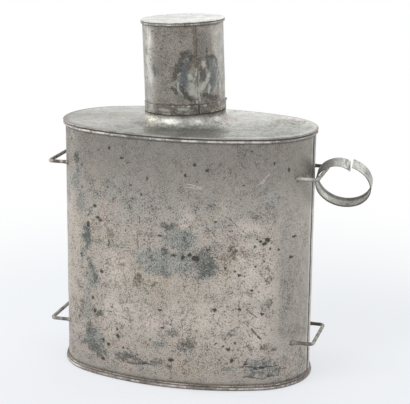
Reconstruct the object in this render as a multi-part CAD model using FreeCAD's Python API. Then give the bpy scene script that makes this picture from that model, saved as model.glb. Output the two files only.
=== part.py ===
import FreeCAD, Part
import math
import os

# An oval field flask of tinned sheet iron. Its cup is pushed over a wide neck that is
# closed by a cork, and a strap runs through four wire loops soldered to the ends.
# Millimetres. X runs along the long side, -Y is the front and Z is up. The origin is
# the middle of the base, on the surface that the flask stands on.

# Body
half_length = 80.0  # outside of the wall, along X
half_depth = 46.5  # outside of the wall, along Y
end_radius = 38.0  # the two tight ends of the oval
body_height = 160.0  # from the floor to the top of the shoulder
sheet = 0.55  # wall, base, shoulder and neck
solder_film = 0.05  # left between layers that are soldered together
seam_height = 3.6  # bands round the base and the shoulder
seam_layers = 3  # sheets folded together and pressed flat in a seam
lock_seam_width = 4.6  # upright seam that closes the wall, in the middle of its +X end
lock_seam_rise = 0.7
lock_seam_slope = 0.5  # run of its two flanks

# Neck, leaning with the cup that sits on it
neck_x = -2.5  # where the axis crosses the cup's rim
lean = 2.4  # degrees from upright, towards -X
flare_radius = 8.0  # hollow curve that draws the shoulder up to the neck
flare_steps = 3  # hammered facets that make up the curve
throat_gap = 0.25  # solder between the neck and the drawn-up throat
neck_rise = 28.0  # from the cup's rim to the mouth
neck_depth = 6.5  # from the cup's rim down into the throat

# Cork
cork_length = 24.0
cork_inserted = 15.0
cork_fit = 0.1  # radial

# Cup
cup_stand = 8.15  # from the shoulder up to the cup's rim, on the axis
cup_radius = 25.05  # outside of the wall
cup_height = 56.3
cup_sheet = 0.35
cup_hem = 5.65  # the rim's edge is folded outwards and up by this much
cup_seam_height = 2.6  # band round the closed end
cup_slip = 0.3  # radial, between the cup and the neck
cup_rest_gap = 0.3  # between the cup's rim and the throat
lap_angle = -56.0  # edge of the cup's lap seam, in degrees round from +X
lap_spread = 24.0  # degrees over which the outer sheet leaves the wall

# Strap loops
loop_wire = 2.3
loop_span = 38.0  # between the two legs
loop_shift = -1.5  # middle of each loop, along Y
loop_reach = 6.3  # from the wall's end to the middle of the bar
lower_loop = 28.0  # above the floor
upper_loop_drop = 27.0  # below the top of the shoulder

# Strap ring on the upper loop at +X, sprung open where its solder let go
ring_radius = 17.1  # middle of the strip
ring_sheet = 0.6
ring_width = 7.8
ring_tilt = 29.4  # degrees that its axis rises towards +Y
ring_wall_gap = 0.3  # to the upright seam that it leans against
ring_bar_gap = 0.3  # to the loop's bar that it hangs on
ring_middle_y = 0.0  # front edge of the strip, level with the ring's middle
ring_end_angle = 67.0  # where the strip starts, in degrees round from +X
tail_angle = 108.0  # where its other end starts to bend inwards
tail_radius = 10.0
tail_turn = 56.0

end_centre = half_length - end_radius
side_radius = (end_centre**2 + half_depth**2 - end_radius**2) / (2 * (half_depth - end_radius))
side_centre = side_radius - half_depth
tangent_angle = math.degrees(math.atan2(side_centre, end_centre))

cup_seat = body_height + cup_stand
neck_radius = cup_radius - cup_sheet - cup_slip
neck_bore = neck_radius - sheet
throat_bore = neck_radius + throat_gap
foot_radius = throat_bore + sheet + flare_radius
plate_reach = 4 * sheet  # how far a seam band's own strip of plate runs inwards

bar_x = half_length + loop_reach
upper_loop = body_height - upper_loop_drop

origin = FreeCAD.Vector(0, 0, 0)
up = FreeCAD.Vector(0, 0, 1)


def joined(first, others):
    """Pieces that are one sheet on the real flask, as one solid."""
    return first.fuse(others).removeSplitter().Solids[0]


def ring_sector(profile, centre, radius, start, sweep):
    """A closed outline of (offset, height) points carried round one arc about a centre."""
    points = [FreeCAD.Vector(radius + offset, 0, height) for offset, height in profile]
    face = Part.Face(Part.makePolygon(points + points[:1]))
    face.rotate(origin, up, start)
    face.translate(centre)
    return face.revolve(centre, up, sweep)


def round_oval(profile):
    """The outline carried right round the oval. Offsets count outwards from the wall."""
    side_sweep = 180 - 2 * tangent_angle
    end_sweep = 2 * tangent_angle
    right = FreeCAD.Vector(end_centre, 0, 0)
    front = FreeCAD.Vector(0, side_centre, 0)
    sectors = [
        ring_sector(profile, right, end_radius, -tangent_angle, end_sweep),
        ring_sector(profile, -front, side_radius, tangent_angle, side_sweep),
        ring_sector(profile, -right, end_radius, 180 - tangent_angle, end_sweep),
        ring_sector(profile, front, side_radius, 180 + tangent_angle, side_sweep),
    ]
    return joined(sectors[0], sectors[1:])


def oval_plate(offset, low, high):
    """A flat plate with the oval's outline, moved outwards by the offset."""
    corner_x = end_centre + (end_radius + offset) * math.cos(math.radians(tangent_angle))
    corner_y = (end_radius + offset) * math.sin(math.radians(tangent_angle))
    tip_x = half_length + offset
    tip_y = half_depth + offset
    stops = [
        ((corner_x, -corner_y), (tip_x, 0), (corner_x, corner_y)),
        ((corner_x, corner_y), (0, tip_y), (-corner_x, corner_y)),
        ((-corner_x, corner_y), (-tip_x, 0), (-corner_x, -corner_y)),
        ((-corner_x, -corner_y), (0, -tip_y), (corner_x, -corner_y)),
    ]
    arcs = [Part.Arc(*[FreeCAD.Vector(x, y, low) for x, y in stop]) for stop in stops]
    outline = Part.Wire([arc.toShape() for arc in arcs])
    return Part.Face(outline).extrude(up * (high - low))


def seam_band(thickness, height, reach):
    """Edge of a plate, seamed to a wall: folded up outside it and pressed flat.

    Points are offsets from the wall's outside and depths from the plate's outer face.
    The reach is how far the plate itself runs inwards.
    """
    outer = solder_film + seam_layers * thickness
    return [
        (-reach, 0),
        (outer, 0),
        (outer, height),
        (solder_film, height),
        (solder_film, thickness),
        (-reach, thickness),
    ]


def flipped(profile, height):
    """The outline turned over, so that depths count down from a height."""
    return [(offset, height - depth) for offset, depth in reversed(profile)]


def leaning(shape):
    """Moves a shape from the cup's own frame, with its rim at zero, onto the neck."""
    shape.rotate(origin, FreeCAD.Vector(0, 1, 0), -lean)
    shape.translate(FreeCAD.Vector(neck_x, 0, cup_seat))
    return shape


def turned(profile):
    """An outline of (radius, height) points turned about the Z axis."""
    return ring_sector(profile, origin, 0, 0, 360)


def body_wall():
    """One rolled sheet between the two plates, closed by the upright lock seam."""
    low = sheet + solder_film
    high = body_height - low
    wall = round_oval([(-sheet, low), (0, low), (0, high), (-sheet, high)])
    inner_x = half_length - sheet / 2
    outer_x = half_length + lock_seam_rise
    half_top = lock_seam_width / 2 - lock_seam_slope
    foot = seam_height + solder_film
    corners = [
        (inner_x, -lock_seam_width / 2),
        (outer_x, -half_top),
        (outer_x, half_top),
        (inner_x, lock_seam_width / 2),
    ]
    points = [FreeCAD.Vector(x, y, foot) for x, y in corners]
    face = Part.Face(Part.makePolygon(points + points[:1]))
    return joined(wall, [face.extrude(up * (body_height - 2 * foot))])


def base_plate():
    edge = round_oval(seam_band(sheet, seam_height, plate_reach))
    return joined(edge, [oval_plate(-plate_reach, 0, sheet)])


def throat():
    """The part of the shoulder drawn up in a hollow curve round the neck.

    It is cut off level with the cup's rim, so it leans with the cup.
    """
    level = body_height + flare_radius
    top = cup_seat + foot_radius * math.tan(math.radians(lean))
    turns = [math.radians(90 * step / flare_steps) for step in range(flare_steps + 1)]

    def curve(radius):
        return [(foot_radius - radius * math.sin(turn), level - radius * math.cos(turn)) for turn in turns]

    lip = [(throat_bore + sheet, top), (throat_bore, top)]
    drawn = turned(curve(flare_radius) + lip + curve(flare_radius + sheet)[::-1])
    drawn.translate(FreeCAD.Vector(neck_x, 0, 0))
    rim_level = FreeCAD.Vector(0, 0, -cup_rest_gap)
    above_rim = leaning(Part.makeCylinder(foot_radius, cup_height, rim_level))
    return drawn.cut(above_rim)


def shoulder_plate():
    edge = round_oval(flipped(seam_band(sheet, seam_height, plate_reach), body_height))
    plate = oval_plate(-plate_reach, body_height - sheet, body_height)
    hole = Part.makeCylinder(foot_radius, 3 * sheet, FreeCAD.Vector(neck_x, 0, body_height - 2 * sheet))
    return joined(edge, [plate.cut(hole), throat()])


def neck_tube():
    return leaning(turned([
        (neck_bore, -neck_depth),
        (neck_radius, -neck_depth),
        (neck_radius, neck_rise),
        (neck_bore, neck_rise),
    ]))


def cork_stopper():
    grip = neck_bore - cork_fit
    foot = neck_rise - cork_inserted
    return leaning(Part.makeCylinder(grip, cork_length, FreeCAD.Vector(0, 0, foot)))


def lap_seam():
    """The cup's outer sheet where it laps over its other edge and ends in a step."""
    step = cup_radius + cup_sheet
    stops = [(cup_radius, lap_spread), (cup_radius + 0.7 * cup_sheet, lap_spread / 2), (step, 0)]
    low = cup_hem + solder_film
    high = cup_height - cup_seam_height - solder_film

    def at(radius, turn):
        angle = math.radians(lap_angle - turn)
        return FreeCAD.Vector(radius * math.cos(angle), radius * math.sin(angle), low)

    inside = cup_radius - cup_sheet / 2
    outline = Part.Wire([
        Part.Arc(*[at(radius, turn) for radius, turn in stops]).toShape(),
        Part.makeLine(at(step, 0), at(inside, 0)),
        Part.Arc(at(inside, 0), at(inside, lap_spread / 2), at(inside, lap_spread)).toShape(),
        Part.makeLine(at(inside, lap_spread), at(cup_radius, lap_spread)),
    ])
    return Part.Face(outline).extrude(up * (high - low))


def cup_wall():
    """A rolled sheet whose rim is folded outwards and pressed flat."""
    hem_radius = cup_radius + cup_sheet
    bore = cup_radius - cup_sheet
    top = cup_height - cup_sheet - solder_film
    wall = turned([
        (bore, 0),
        (hem_radius, 0),
        (hem_radius, cup_hem),
        (cup_radius, cup_hem),
        (cup_radius, top),
        (bore, top),
    ])
    return leaning(joined(wall, [lap_seam()]))


def cup_end():
    band = flipped(seam_band(cup_sheet, cup_seam_height, cup_radius), cup_height)
    return leaning(turned([(cup_radius + offset, height) for offset, height in band]))


def strap_loop(height, side):
    """Wire bent into a staple, with legs cut to the wall. Side is +1 or -1 along X."""
    half_span = loop_span / 2
    inside = end_centre + end_radius / 2
    corners = [(inside, -half_span), (bar_x, -half_span), (bar_x, half_span), (inside, half_span)]
    points = [FreeCAD.Vector(x, loop_shift + y, height) for x, y in corners]
    section = Part.Wire(Part.makeCircle(loop_wire / 2, points[0], FreeCAD.Vector(1, 0, 0)))
    staple = Part.makePolygon(points).makePipeShell([section], True, False, 1)
    staple = staple.cut(oval_plate(solder_film, height - loop_wire, height + loop_wire)).Solids[0]
    if side < 0:
        staple = staple.mirror(origin, FreeCAD.Vector(1, 0, 0))
    return staple


def ring_strip(profile):
    """An outline of (offset from the strip's middle, height) carried round the ring.

    The strip runs round the main circle, then bends inwards to its sprung end.
    """
    main_sweep = 360 - (tail_angle - ring_end_angle)
    main = ring_sector(profile, origin, ring_radius, tail_angle, main_sweep)
    change = ring_radius - tail_radius
    turn = math.radians(tail_angle)
    tail_middle = FreeCAD.Vector(change * math.cos(turn), change * math.sin(turn), 0)
    tail = ring_sector(profile, tail_middle, tail_radius, tail_angle - tail_turn, tail_turn)
    return joined(main, [tail])


def strap_ring():
    """A strip bent round. It leans on the upright seam and hangs on the loop's bar."""
    half = ring_sheet / 2
    upright = math.cos(math.radians(ring_tilt))
    ring = ring_strip([(half, 0), (-half, 0), (-half, -ring_width), (half, -ring_width)])
    middle_x = half_length + lock_seam_rise + ring_wall_gap + ring_radius + half
    hang = ring_radius - half - loop_wire / 2 / upright - ring_bar_gap
    drop = math.sqrt(hang**2 - (middle_x - bar_x) ** 2) * upright
    ring.rotate(origin, FreeCAD.Vector(1, 0, 0), 90 + ring_tilt)
    ring.translate(FreeCAD.Vector(middle_x, ring_middle_y, upper_loop - drop))
    return ring


pieces = {
    "body_wall": body_wall(),
    "base_plate": base_plate(),
    "shoulder_plate": shoulder_plate(),
    "neck_tube": neck_tube(),
    "cork_stopper": cork_stopper(),
    "cup_wall": cup_wall(),
    "cup_end": cup_end(),
    "strap_ring": strap_ring(),
    "upper_loop_right": strap_loop(upper_loop, 1),
    "upper_loop_left": strap_loop(upper_loop, -1),
    "lower_loop_right": strap_loop(lower_loop, 1),
    "lower_loop_left": strap_loop(lower_loop, -1),
}

os.makedirs("parts", exist_ok=True)
for name, shape in pieces.items():
    shape.exportStep("parts/" + name + ".step")
    print(name, shape.ShapeType, len(shape.Solids), round(shape.Volume, 1), shape.isValid())
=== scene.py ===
import math

import bpy
from bpy.props import FloatProperty, FloatVectorProperty, PointerProperty
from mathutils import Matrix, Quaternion, Vector, noise


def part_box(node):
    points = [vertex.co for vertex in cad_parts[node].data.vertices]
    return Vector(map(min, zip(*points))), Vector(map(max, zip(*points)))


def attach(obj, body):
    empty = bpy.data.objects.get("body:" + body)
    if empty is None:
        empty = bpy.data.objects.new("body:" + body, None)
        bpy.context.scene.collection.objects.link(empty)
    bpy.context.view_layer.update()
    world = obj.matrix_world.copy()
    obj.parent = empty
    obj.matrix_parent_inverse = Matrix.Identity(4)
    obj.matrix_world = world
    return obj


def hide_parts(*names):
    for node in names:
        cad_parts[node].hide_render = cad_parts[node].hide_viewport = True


bl_info = {
    "name": "Oval Tin Flask",
    "version": (1, 0, 0),
    "blender": (4, 5, 0),
    "location": "3D View > Sidebar > Flask",
    "description": "Dresses the packed flask in worn tin, wire and cork, on a pale studio floor",
    "category": "Add Mesh",
}

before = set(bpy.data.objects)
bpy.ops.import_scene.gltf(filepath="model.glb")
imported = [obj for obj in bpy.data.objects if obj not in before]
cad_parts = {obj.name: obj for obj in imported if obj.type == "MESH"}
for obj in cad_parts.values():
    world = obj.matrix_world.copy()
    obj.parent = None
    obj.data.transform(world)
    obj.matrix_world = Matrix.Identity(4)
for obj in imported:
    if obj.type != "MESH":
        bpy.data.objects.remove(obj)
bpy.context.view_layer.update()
wall_low, wall_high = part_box("body_wall")

MM = 0.001
UP = Vector((0, 0, 1))
COLUMN_STEP = 1.15 * MM  # between the columns of points round the oval
TURNED_OVER = 162  # the back's marks are the front's, turned over about half this height
REPAIR = (56.8, 14.3)  # middle of the bluish patch low on the front, in millimetres
PLATE_STAIN = (0.0596, 0.0165, 0.0115)  # x, y and radius of the brown stain on the shoulder

# Each tin's cloud size, stipple, specks, roughness and share of bare metal.
LOOKS = {
    "body_tin": (0.04, 0.95, 0.6, 0.45, 0.6),
    "shoulder_tin": (0.03, 0.48, 0.4, 0.35, 0.8),
    "cup_tin": (0.012, 0.85, 0.7, 0.36, 0.75),
    "ring_tin": (0.008, 0.35, 0.3, 0.36, 0.8),
    "wire": (0.006, 0.4, 0.3, 0.5, 0.55),
}
# Colour of pale tin and of painted highlights and reflections.
PALE_TIN_AND_HIGHLIGHT = (0.86, 0.86, 0.82)
PALE_CORK = (0.62, 0.45, 0.29)

# The upright seam's section: distance along the wall and height off it, in millimetres.
UPRIGHT_SEAM = [
    (-3.3, 0.0), (-2.9, -0.03), (-2.62, -0.2), (-2.42, -0.22), (-2.28, 0.1), (-2.05, 0.45),
    (-1.7, 0.62), (-1.1, 0.69), (-0.4, 0.66), (0.4, 0.66), (1.1, 0.69), (1.7, 0.62),
    (2.05, 0.45), (2.28, 0.1), (2.42, -0.12), (2.7, -0.03), (3.3, 0.0),
]

# Sections of the pressed seams: offset from the wall and depth from the plate's outside,
# in millimetres, with how scuffed (above zero) or grimy (below zero) each line of it is.
# Their grime in the grooves and along each band's edge at the wall is dirt and painted shade.
SHOULDER_SEAM = [
    (-0.9, 0.0, 0.0), (-0.1, 0.0, 0.0), (0.6, 0.03, -0.1), (1.12, 0.14, -0.2), (1.48, 0.36, 0.1),
    (1.66, 0.66, -0.3), (1.62, 0.94, -0.5), (1.38, 1.14, -0.75), (1.02, 1.28, -1.0), (0.84, 1.46, -1.0),
    (0.92, 1.66, -0.95), (1.2, 1.84, -0.3), (1.45, 2.08, 0.8), (1.57, 2.4, 1.0), (1.55, 2.75, 1.0),
    (1.35, 3.08, 0.7), (0.98, 3.32, -0.1), (0.55, 3.48, -0.6), (0.2, 3.58, -0.8), (0.05, 3.6, -0.8),
]
BASE_SEAM = [
    (-0.9, 0.0, -0.6), (0.3, 0.0, -0.9), (0.95, 0.05, -1.0), (1.38, 0.22, -1.0), (1.62, 0.5, -0.8),
    (1.7, 0.9, -0.1), (1.68, 1.3, 0.9), (1.6, 1.65, 1.0), (1.48, 1.95, 0.4), (1.22, 2.18, -0.6),
    (1.02, 2.36, -1.0), (1.02, 2.52, -1.0), (1.2, 2.7, -0.5), (1.34, 2.92, 0.5), (1.28, 3.14, 0.4),
    (1.0, 3.34, -0.3), (0.6, 3.48, -0.6), (0.22, 3.57, -0.7), (0.05, 3.6, -0.7),
]
CUP_SEAM = [
    (-1.0, 0.03, 0.0), (-0.2, 0.0, 0.1), (0.4, 0.03, 0.4), (0.84, 0.16, 0.7), (1.05, 0.38, 0.6),
    (1.09, 0.62, 0.1), (0.95, 0.86, -0.5), (0.72, 1.0, -0.8), (0.74, 1.12, -0.6), (0.94, 1.28, 0.2),
    (1.04, 1.55, 0.5), (1.04, 1.9, 0.2), (0.9, 2.22, 0.0), (0.58, 2.46, -0.5), (0.25, 2.57, -0.9),
    (0.05, 2.6, -0.9),
]

# Marks on the front of the wall, read off the photograph: x, z, half width, half height, in
# millimetres. Pits are small and sharp; the others are soft.
PITS = [
    (10.9, 136.3, 1.0, 1.0), (-13.1, 132.6, 0.8, 1.4), (-24.2, 127.6, 0.8, 0.8), (-40.0, 123.8, 0.6, 0.7),
    (-17.0, 122.2, 0.7, 0.8), (-49.7, 110.7, 1.4, 1.3), (-47.7, 103.6, 1.8, 0.9), (-45.5, 102.0, 1.6, 1.0),
    (-55.0, 98.0, 1.5, 2.0), (-23.0, 119.0, 0.6, 0.6), (3.7, 85.9, 1.9, 0.9), (9.6, 85.0, 1.4, 1.4),
    (13.7, 87.0, 1.3, 1.3), (17.3, 84.7, 2.5, 1.8), (-45.2, 69.1, 1.5, 1.2), (-60.3, 77.0, 1.0, 1.3),
    (-4.8, 97.4, 1.9, 0.6), (23.8, 139.7, 1.1, 1.0), (45.3, 131.2, 0.7, 0.6), (59.2, 96.9, 1.7, 1.6),
    (57.6, 94.6, 1.8, 1.3), (55.3, 96.0, 0.9, 0.9), (60.7, 91.2, 0.8, 0.8), (53.4, 97.6, 0.8, 0.7),
    (52.2, 92.7, 0.7, 0.9), (24.8, 90.8, 1.2, 0.8), (29.3, 108.4, 1.3, 0.7), (45.0, 102.6, 0.8, 0.6),
    (38.1, 102.6, 1.5, 0.4), (72.0, 84.3, 2.2, 0.9), (73.3, 97.1, 2.1, 0.8), (52.8, 80.3, 0.9, 0.8),
    (43.5, 74.7, 1.1, 1.1), (40.9, 77.3, 0.8, 1.0), (35.5, 79.1, 0.9, 0.9), (57.6, 83.6, 0.8, 0.8),
    (65.4, 90.3, 1.0, 1.0), (-51.9, 50.3, 1.5, 1.3), (-50.6, 42.2, 1.2, 1.5), (-44.3, 24.0, 1.2, 0.9),
    (-40.3, 21.8, 1.5, 1.1), (-33.4, 28.6, 1.6, 1.6), (-34.1, 33.1, 0.7, 1.6), (-44.7, 11.2, 1.6, 1.2),
    (-4.7, 49.9, 1.4, 0.8), (-3.3, 38.4, 1.5, 0.7), (2.2, 41.3, 0.8, 0.7), (-29.6, 21.5, 0.9, 0.8),
    (2.3, 17.9, 1.9, 1.4), (29.5, 52.6, 1.5, 1.3), (44.2, 52.8, 1.1, 1.0), (57.1, 49.9, 1.3, 1.0),
    (50.7, 65.0, 0.9, 0.7), (41.8, 31.1, 0.7, 0.8), (34.7, 29.1, 1.0, 0.9), (37.7, 27.0, 1.5, 1.0),
    (30.0, 30.6, 0.7, 0.9), (39.8, 19.6, 1.2, 1.6), (48.1, 17.4, 1.6, 0.7), (57.8, 14.7, 1.8, 0.8),
    (54.0, 14.1, 1.3, 0.6), (-38.8, 148.8, 1.2, 1.1), (-25.9, 141.2, 1.2, 0.6), (-30.1, 143.5, 1.4, 0.7),
    (16.5, 142.9, 1.2, 1.1), (49.3, 151.8, 0.8, 0.6), (62.0, 144.0, 0.6, 1.2), (69.7, 139.3, 1.0, 1.6),
]
WALL_RUSTS = [
    (40.0, 88.5, 6.5, 5.0), (33.5, 83.5, 3.5, 3.0), (-38.0, 95.0, 3.0, 3.5), (35.0, 34.0, 2.5, 2.0),
    (76.6, 134.0, 1.8, 2.4),
]
SMUDGES = [
    (14.5, 125.2, 1.5, 2.0), (-35.6, 116.6, 1.8, 1.6), (-1.6, 88.1, 2.5, 2.3), (-53.0, 70.1, 2.9, 2.9),
    (-49.6, 63.2, 3.7, 3.3), (-57.0, 82.0, 2.0, 5.5), (-56.0, 90.0, 3.9, 4.6), (0.3, 103.8, 6.3, 2.9),
    (-24.8, 112.6, 2.2, 2.0), (57.8, 125.5, 0.9, 2.8), (66.5, 119.5, 1.0, 2.4), (61.3, 117.4, 2.2, 0.9),
    (58.5, 118.4, 1.5, 3.3), (52.2, 111.2, 3.6, 1.0),
    (25.5, 118.3, 1.8, 1.8), (31.7, 116.4, 1.8, 1.6), (75.0, 94.1, 8.8, 2.3), (75.0, 107.5, 2.3, 2.6),
    (65.7, 83.7, 2.4, 2.9), (61.3, 73.9, 2.2, 3.3), (-47.1, 41.2, 2.8, 2.0), (-45.1, 35.7, 2.0, 2.3),
    (-54.9, 30.0, 4.8, 4.6), (-59.5, 17.9, 3.8, 2.6), (-50.2, 15.6, 9.2, 3.3), (-30.3, 15.4, 5.8, 2.9),
    (-19.6, 15.2, 7.6, 2.0), (-7.0, 15.6, 3.6, 2.9), (3.4, 36.2, 4.2, 3.3), (13.0, 28.9, 6.3, 4.9),
    (1.7, 13.7, 2.3, 2.0), (-20.1, 67.1, 3.1, 3.6), (-8.3, 66.2, 2.6, 1.6), (63.1, 50.2, 2.0, 1.6),
    (60.7, 56.6, 2.6, 2.9), (58.9, 28.7, 3.2, 2.3), (64.5, 26.5, 3.7, 1.3), (69.9, 31.8, 1.9, 3.6),
    (39.5, 37.3, 2.1, 1.3), (49.6, 28.6, 2.5, 2.0), (76.4, 21.7, 4.3, 2.6), (22.0, 82.9, 7.9, 8.5),
    (39.0, 89.5, 3.6, 3.2),
    (-63.8, 139.4, 2.2, 3.8), (-60.6, 41.0, 3.0, 5.9), (-46.3, 145.2, 2.7, 2.0), (76.9, 131.1, 4.9, 4.6),
]
BLOOMS = [
    (-1.6, 81.2, 19.9, 8.5), (7.8, 95.9, 11.2, 6.6), (-33.6, 88.1, 3.3, 2.0), (58.3, 128.1, 2.8, 2.3),
    (63.3, 122.2, 5.2, 3.9), (68.1, 108.7, 4.6, 3.9), (22.0, 80.3, 7.9, 7.9), (52.0, 19.5, 5.0, 2.4),
    (38.0, 14.4, 4.9, 1.3), (69.7, 52.7, 3.4, 16.4), (-51.5, 22.5, 8.5, 9.0),
    (-64.5, 130.0, 2.4, 13.0), (-60.0, 111.0, 4.0, 6.5), (-57.0, 90.0, 4.6, 8.0), (-60.0, 77.0, 2.6, 5.5),
    (-53.0, 66.0, 5.5, 9.5),
    (-55.5, 46.0, 3.0, 10.0), (-5.3, 28.3, 2.6, 2.0),
]
RUBS = [
    (-35.3, 73.0, 8.9, 11.1), (-23.5, 146.7, 2.4, 1.6), (17.3, 129.1, 3.0, 2.0), (50.7, 83.3, 13.5, 13.1),
    (49.9, 65.5, 18.5, 9.8), (-31.9, 44.8, 13.2, 13.1), (-11.3, 41.4, 11.4, 7.9), (10.8, 108.7, 4.3, 5.2),
    (36.3, 122.1, 5.4, 9.8), (49.2, 106.0, 9.1, 5.2), (29.6, 46.0, 12.3, 13.1), (52.1, 39.7, 8.1, 14.0),
    (8.1, 46.1, 12.6, 8.5),
]
PALES = [(61.8, 123.0, 4.0, 5.2), (67.8, 108.5, 3.2, 3.0)]
# Lines on the front: x and z of both ends, half width, and how deep the sheet is creased.
SCORES = [
    (35.1, 111.9, 45.2, 102.6, 0.15, 0.0), (23.4, 104.8, 30.4, 97.8, 0.17, 0.0),
    (48.5, 53.3, 53.8, 47.8, 0.3, 0.0), (51.1, 40.4, 56.5, 33.8, 0.4, 0.1),
    (-26.5, 12.3, -19.0, 12.6, 0.55, 0.4), (-19.0, 12.6, -11.2, 13.9, 0.5, 0.4),
    (44.5, 15.4, 66.6, 15.0, 0.35, 0.15), (47.0, 8.6, 54.2, 8.2, 0.3, 0.2), (54.2, 8.2, 57.9, 6.9, 0.35, 0.3),
    (57.9, 6.9, 61.5, 8.3, 0.35, 0.3), (61.5, 8.3, 67.0, 8.9, 0.3, 0.2), (67.0, 8.9, 67.4, 14.0, 0.25, 0.1),
    (-39.8, 90.3, -39.5, 85.9, 0.4, 0.0), (46.5, 15.6, 50.0, 21.0, 0.25, 0.0),
]
SCRATCHES = [
    (53.3, 131.0, 59.4, 137.5, 0.26), (55.4, 131.8, 57.2, 134.0, 0.2), (10.0, 129.0, 20.9, 128.4, 0.2),
    (11.8, 131.0, 17.9, 130.1, 0.2), (16.0, 129.9, 20.5, 129.2, 0.25), (40.6, 129.5, 42.0, 128.2, 0.2),
]

# Stains on the cup, as brush strokes: degrees round from +X and height over the rim in
# millimetres, then the stroke's half width.
CUP_BURNS = [
    ((-68.7, 37.8), (-75.7, 35.3), (-80.0, 31.4), (-84.4, 26.7), (-86.7, 22.8), 1.6),
    ((-72.7, 37.0), (-63.9, 35.1), 1.9), ((-79.2, 17.1), (-76.5, 13.6), (-67.8, 10.4), 1.7),
    ((-57.8, 8.4), (-64.9, 9.4), 1.2), ((-41.6, 34.5), (-27.3, 33.6), (-19.7, 29.2), (-18.6, 23.9), 1.1),
    ((-40.0, 31.6), (-39.0, 29.0), 0.9), ((-37.3, 27.1), (-38.6, 26.3), 0.7),
    ((-46.8, 26.7), (-47.2, 21.1), 1.7),
    ((-44.6, 11.3), (-35.0, 9.5), (-16.7, 8.3), 1.5), ((-19.4, 16.9), (-21.7, 11.8), 0.8),
    ((-91.3, 16.7), (-85.5, 13.2), 0.9), ((-118.0, 24.0), (-121.0, 29.0), 1.0),
]
CUP_BLUES = [
    ((-69.1, 32.6), (-74.3, 29.2), (-75.5, 25.3), (-75.3, 22.3), (-78.1, 18.4), (-75.9, 14.0), 2.4),
    ((-33.1, 31.3), (-28.0, 26.2), (-28.5, 21.0), (-34.5, 15.2), 2.3), ((-59.9, 8.4), (-63.2, 4.6), 1.9),
    ((-42.5, 8.6), (-40.3, 6.7), 1.4),
]
CUP_SMEARS = [
    ((-66.7, 24.3), (-65.9, 22.1), 1.1), ((-64.2, 17.7), (-62.5, 14.6), (-57.5, 12.7), 2.2),
    ((-61.0, 20.7), (-57.6, 24.0), (-56.6, 27.9), 0.45), ((-52.0, 15.2), (-46.4, 17.5), 1.7),
    ((-81.9, 20.2), (-82.7, 16.3), (-78.5, 12.3), 0.5), ((-79.9, 25.8), (-82.6, 23.7), 0.4),
    ((-48.0, 32.0), (-42.9, 31.8), 0.4), ((-46.5, 30.4), (-45.4, 29.7), 1.0),
    ((-56.9, 10.4), (-57.0, 6.9), 0.5),
    ((-14.5, 17.5), (-11.2, 10.2), 0.9), ((-47.3, 5.3), (-43.9, 5.1), 0.5),
    ((-36.3, 17.5), (-38.5, 12.8), 0.7),
    ((-38.8, 23.7), (-41.0, 19.0), 1.1), ((-2.8, 2.9), (-13.4, 1.9), 0.7), ((-53.3, 9.8), (-53.5, 7.6), 0.35),
    ((-52.4, 23.8), (-52.5, 22.1), 0.4), ((-97.0, 2.6), (-112.0, 3.0), 0.7),
    ((-70.0, 3.6), (-84.0, 3.4), 0.6),
]
CUP_RUSTS = [
    ((-87.4, 26.7), (-88.3, 21.9), 1.2), ((-64.1, 32.0), (-67.3, 29.5), 1.2),
    ((-71.7, 37.4), (-74.8, 35.3), 1.2),
    ((-50.6, 33.8), (-50.0, 28.1), 1.2), ((-32.9, 3.6), (-19.0, 4.1), 1.6), ((-7.9, 7.3), (-16.9, 6.1), 1.0),
    ((-57.2, 53.0), (-57.4, 40.4), (-57.6, 29.6), 1.1), ((-20.1, 10.3), (-22.0, 8.3), 0.6),
    ((-96.0, 6.5), (-72.1, 6.1), 0.6),
]


def length(name, description, default):
    return FloatProperty(name=name, description=description, default=default, unit="LENGTH", precision=5)


def angle(name, description, degrees):
    return FloatProperty(name=name, description=description, default=math.radians(degrees), subtype="ANGLE")


def share(name, description, default):
    return FloatProperty(
        name=name, description=description, default=default, min=0.0, max=1.0, subtype="FACTOR"
    )


def colour(name, description, default):
    return FloatVectorProperty(
        name=name, description=description, default=default, size=3, min=0.0, max=1.0, subtype="COLOR"
    )


class FLASK_PG_body(bpy.types.PropertyGroup):
    """Sizes of the oval body and its seams."""

    half_length: length("Half length", "Middle to the outside of the wall, along X", -wall_low.x)
    half_depth: length("Half depth", "Middle to the outside of the wall, along Y", -wall_low.y)
    end_radius: length("End radius", "Radius of the two tight ends of the oval", 0.038)
    height: length("Height", "Floor to the top of the shoulder", wall_high.z + 0.0006)
    sheet: length("Sheet", "Thickness of the tinned iron", 0.00055)
    seam_height: length("Seam height", "Height of the bands round the base and the shoulder", 0.0036)
    solder: length("Solder", "Thickness of solder between two sheets", 0.00005)
    wave: length("Wave", "How far the wall wanders from a true oval", 0.00018)
    seam_wander: length("Seam wander", "How far the pressed seams wander", 0.00016)
    neck_x: length("Neck middle", "Where the neck's axis crosses the cup's rim, along X", -0.0025)
    flare_radius: length("Flare radius", "Hollow curve from the shoulder up to the neck", 0.008)
    throat_bore: length("Throat bore", "Inside radius of the drawn-up throat", 0.02465)
    lean: angle("Lean", "How far the neck and the cup lean towards -X", 2.4)


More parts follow.
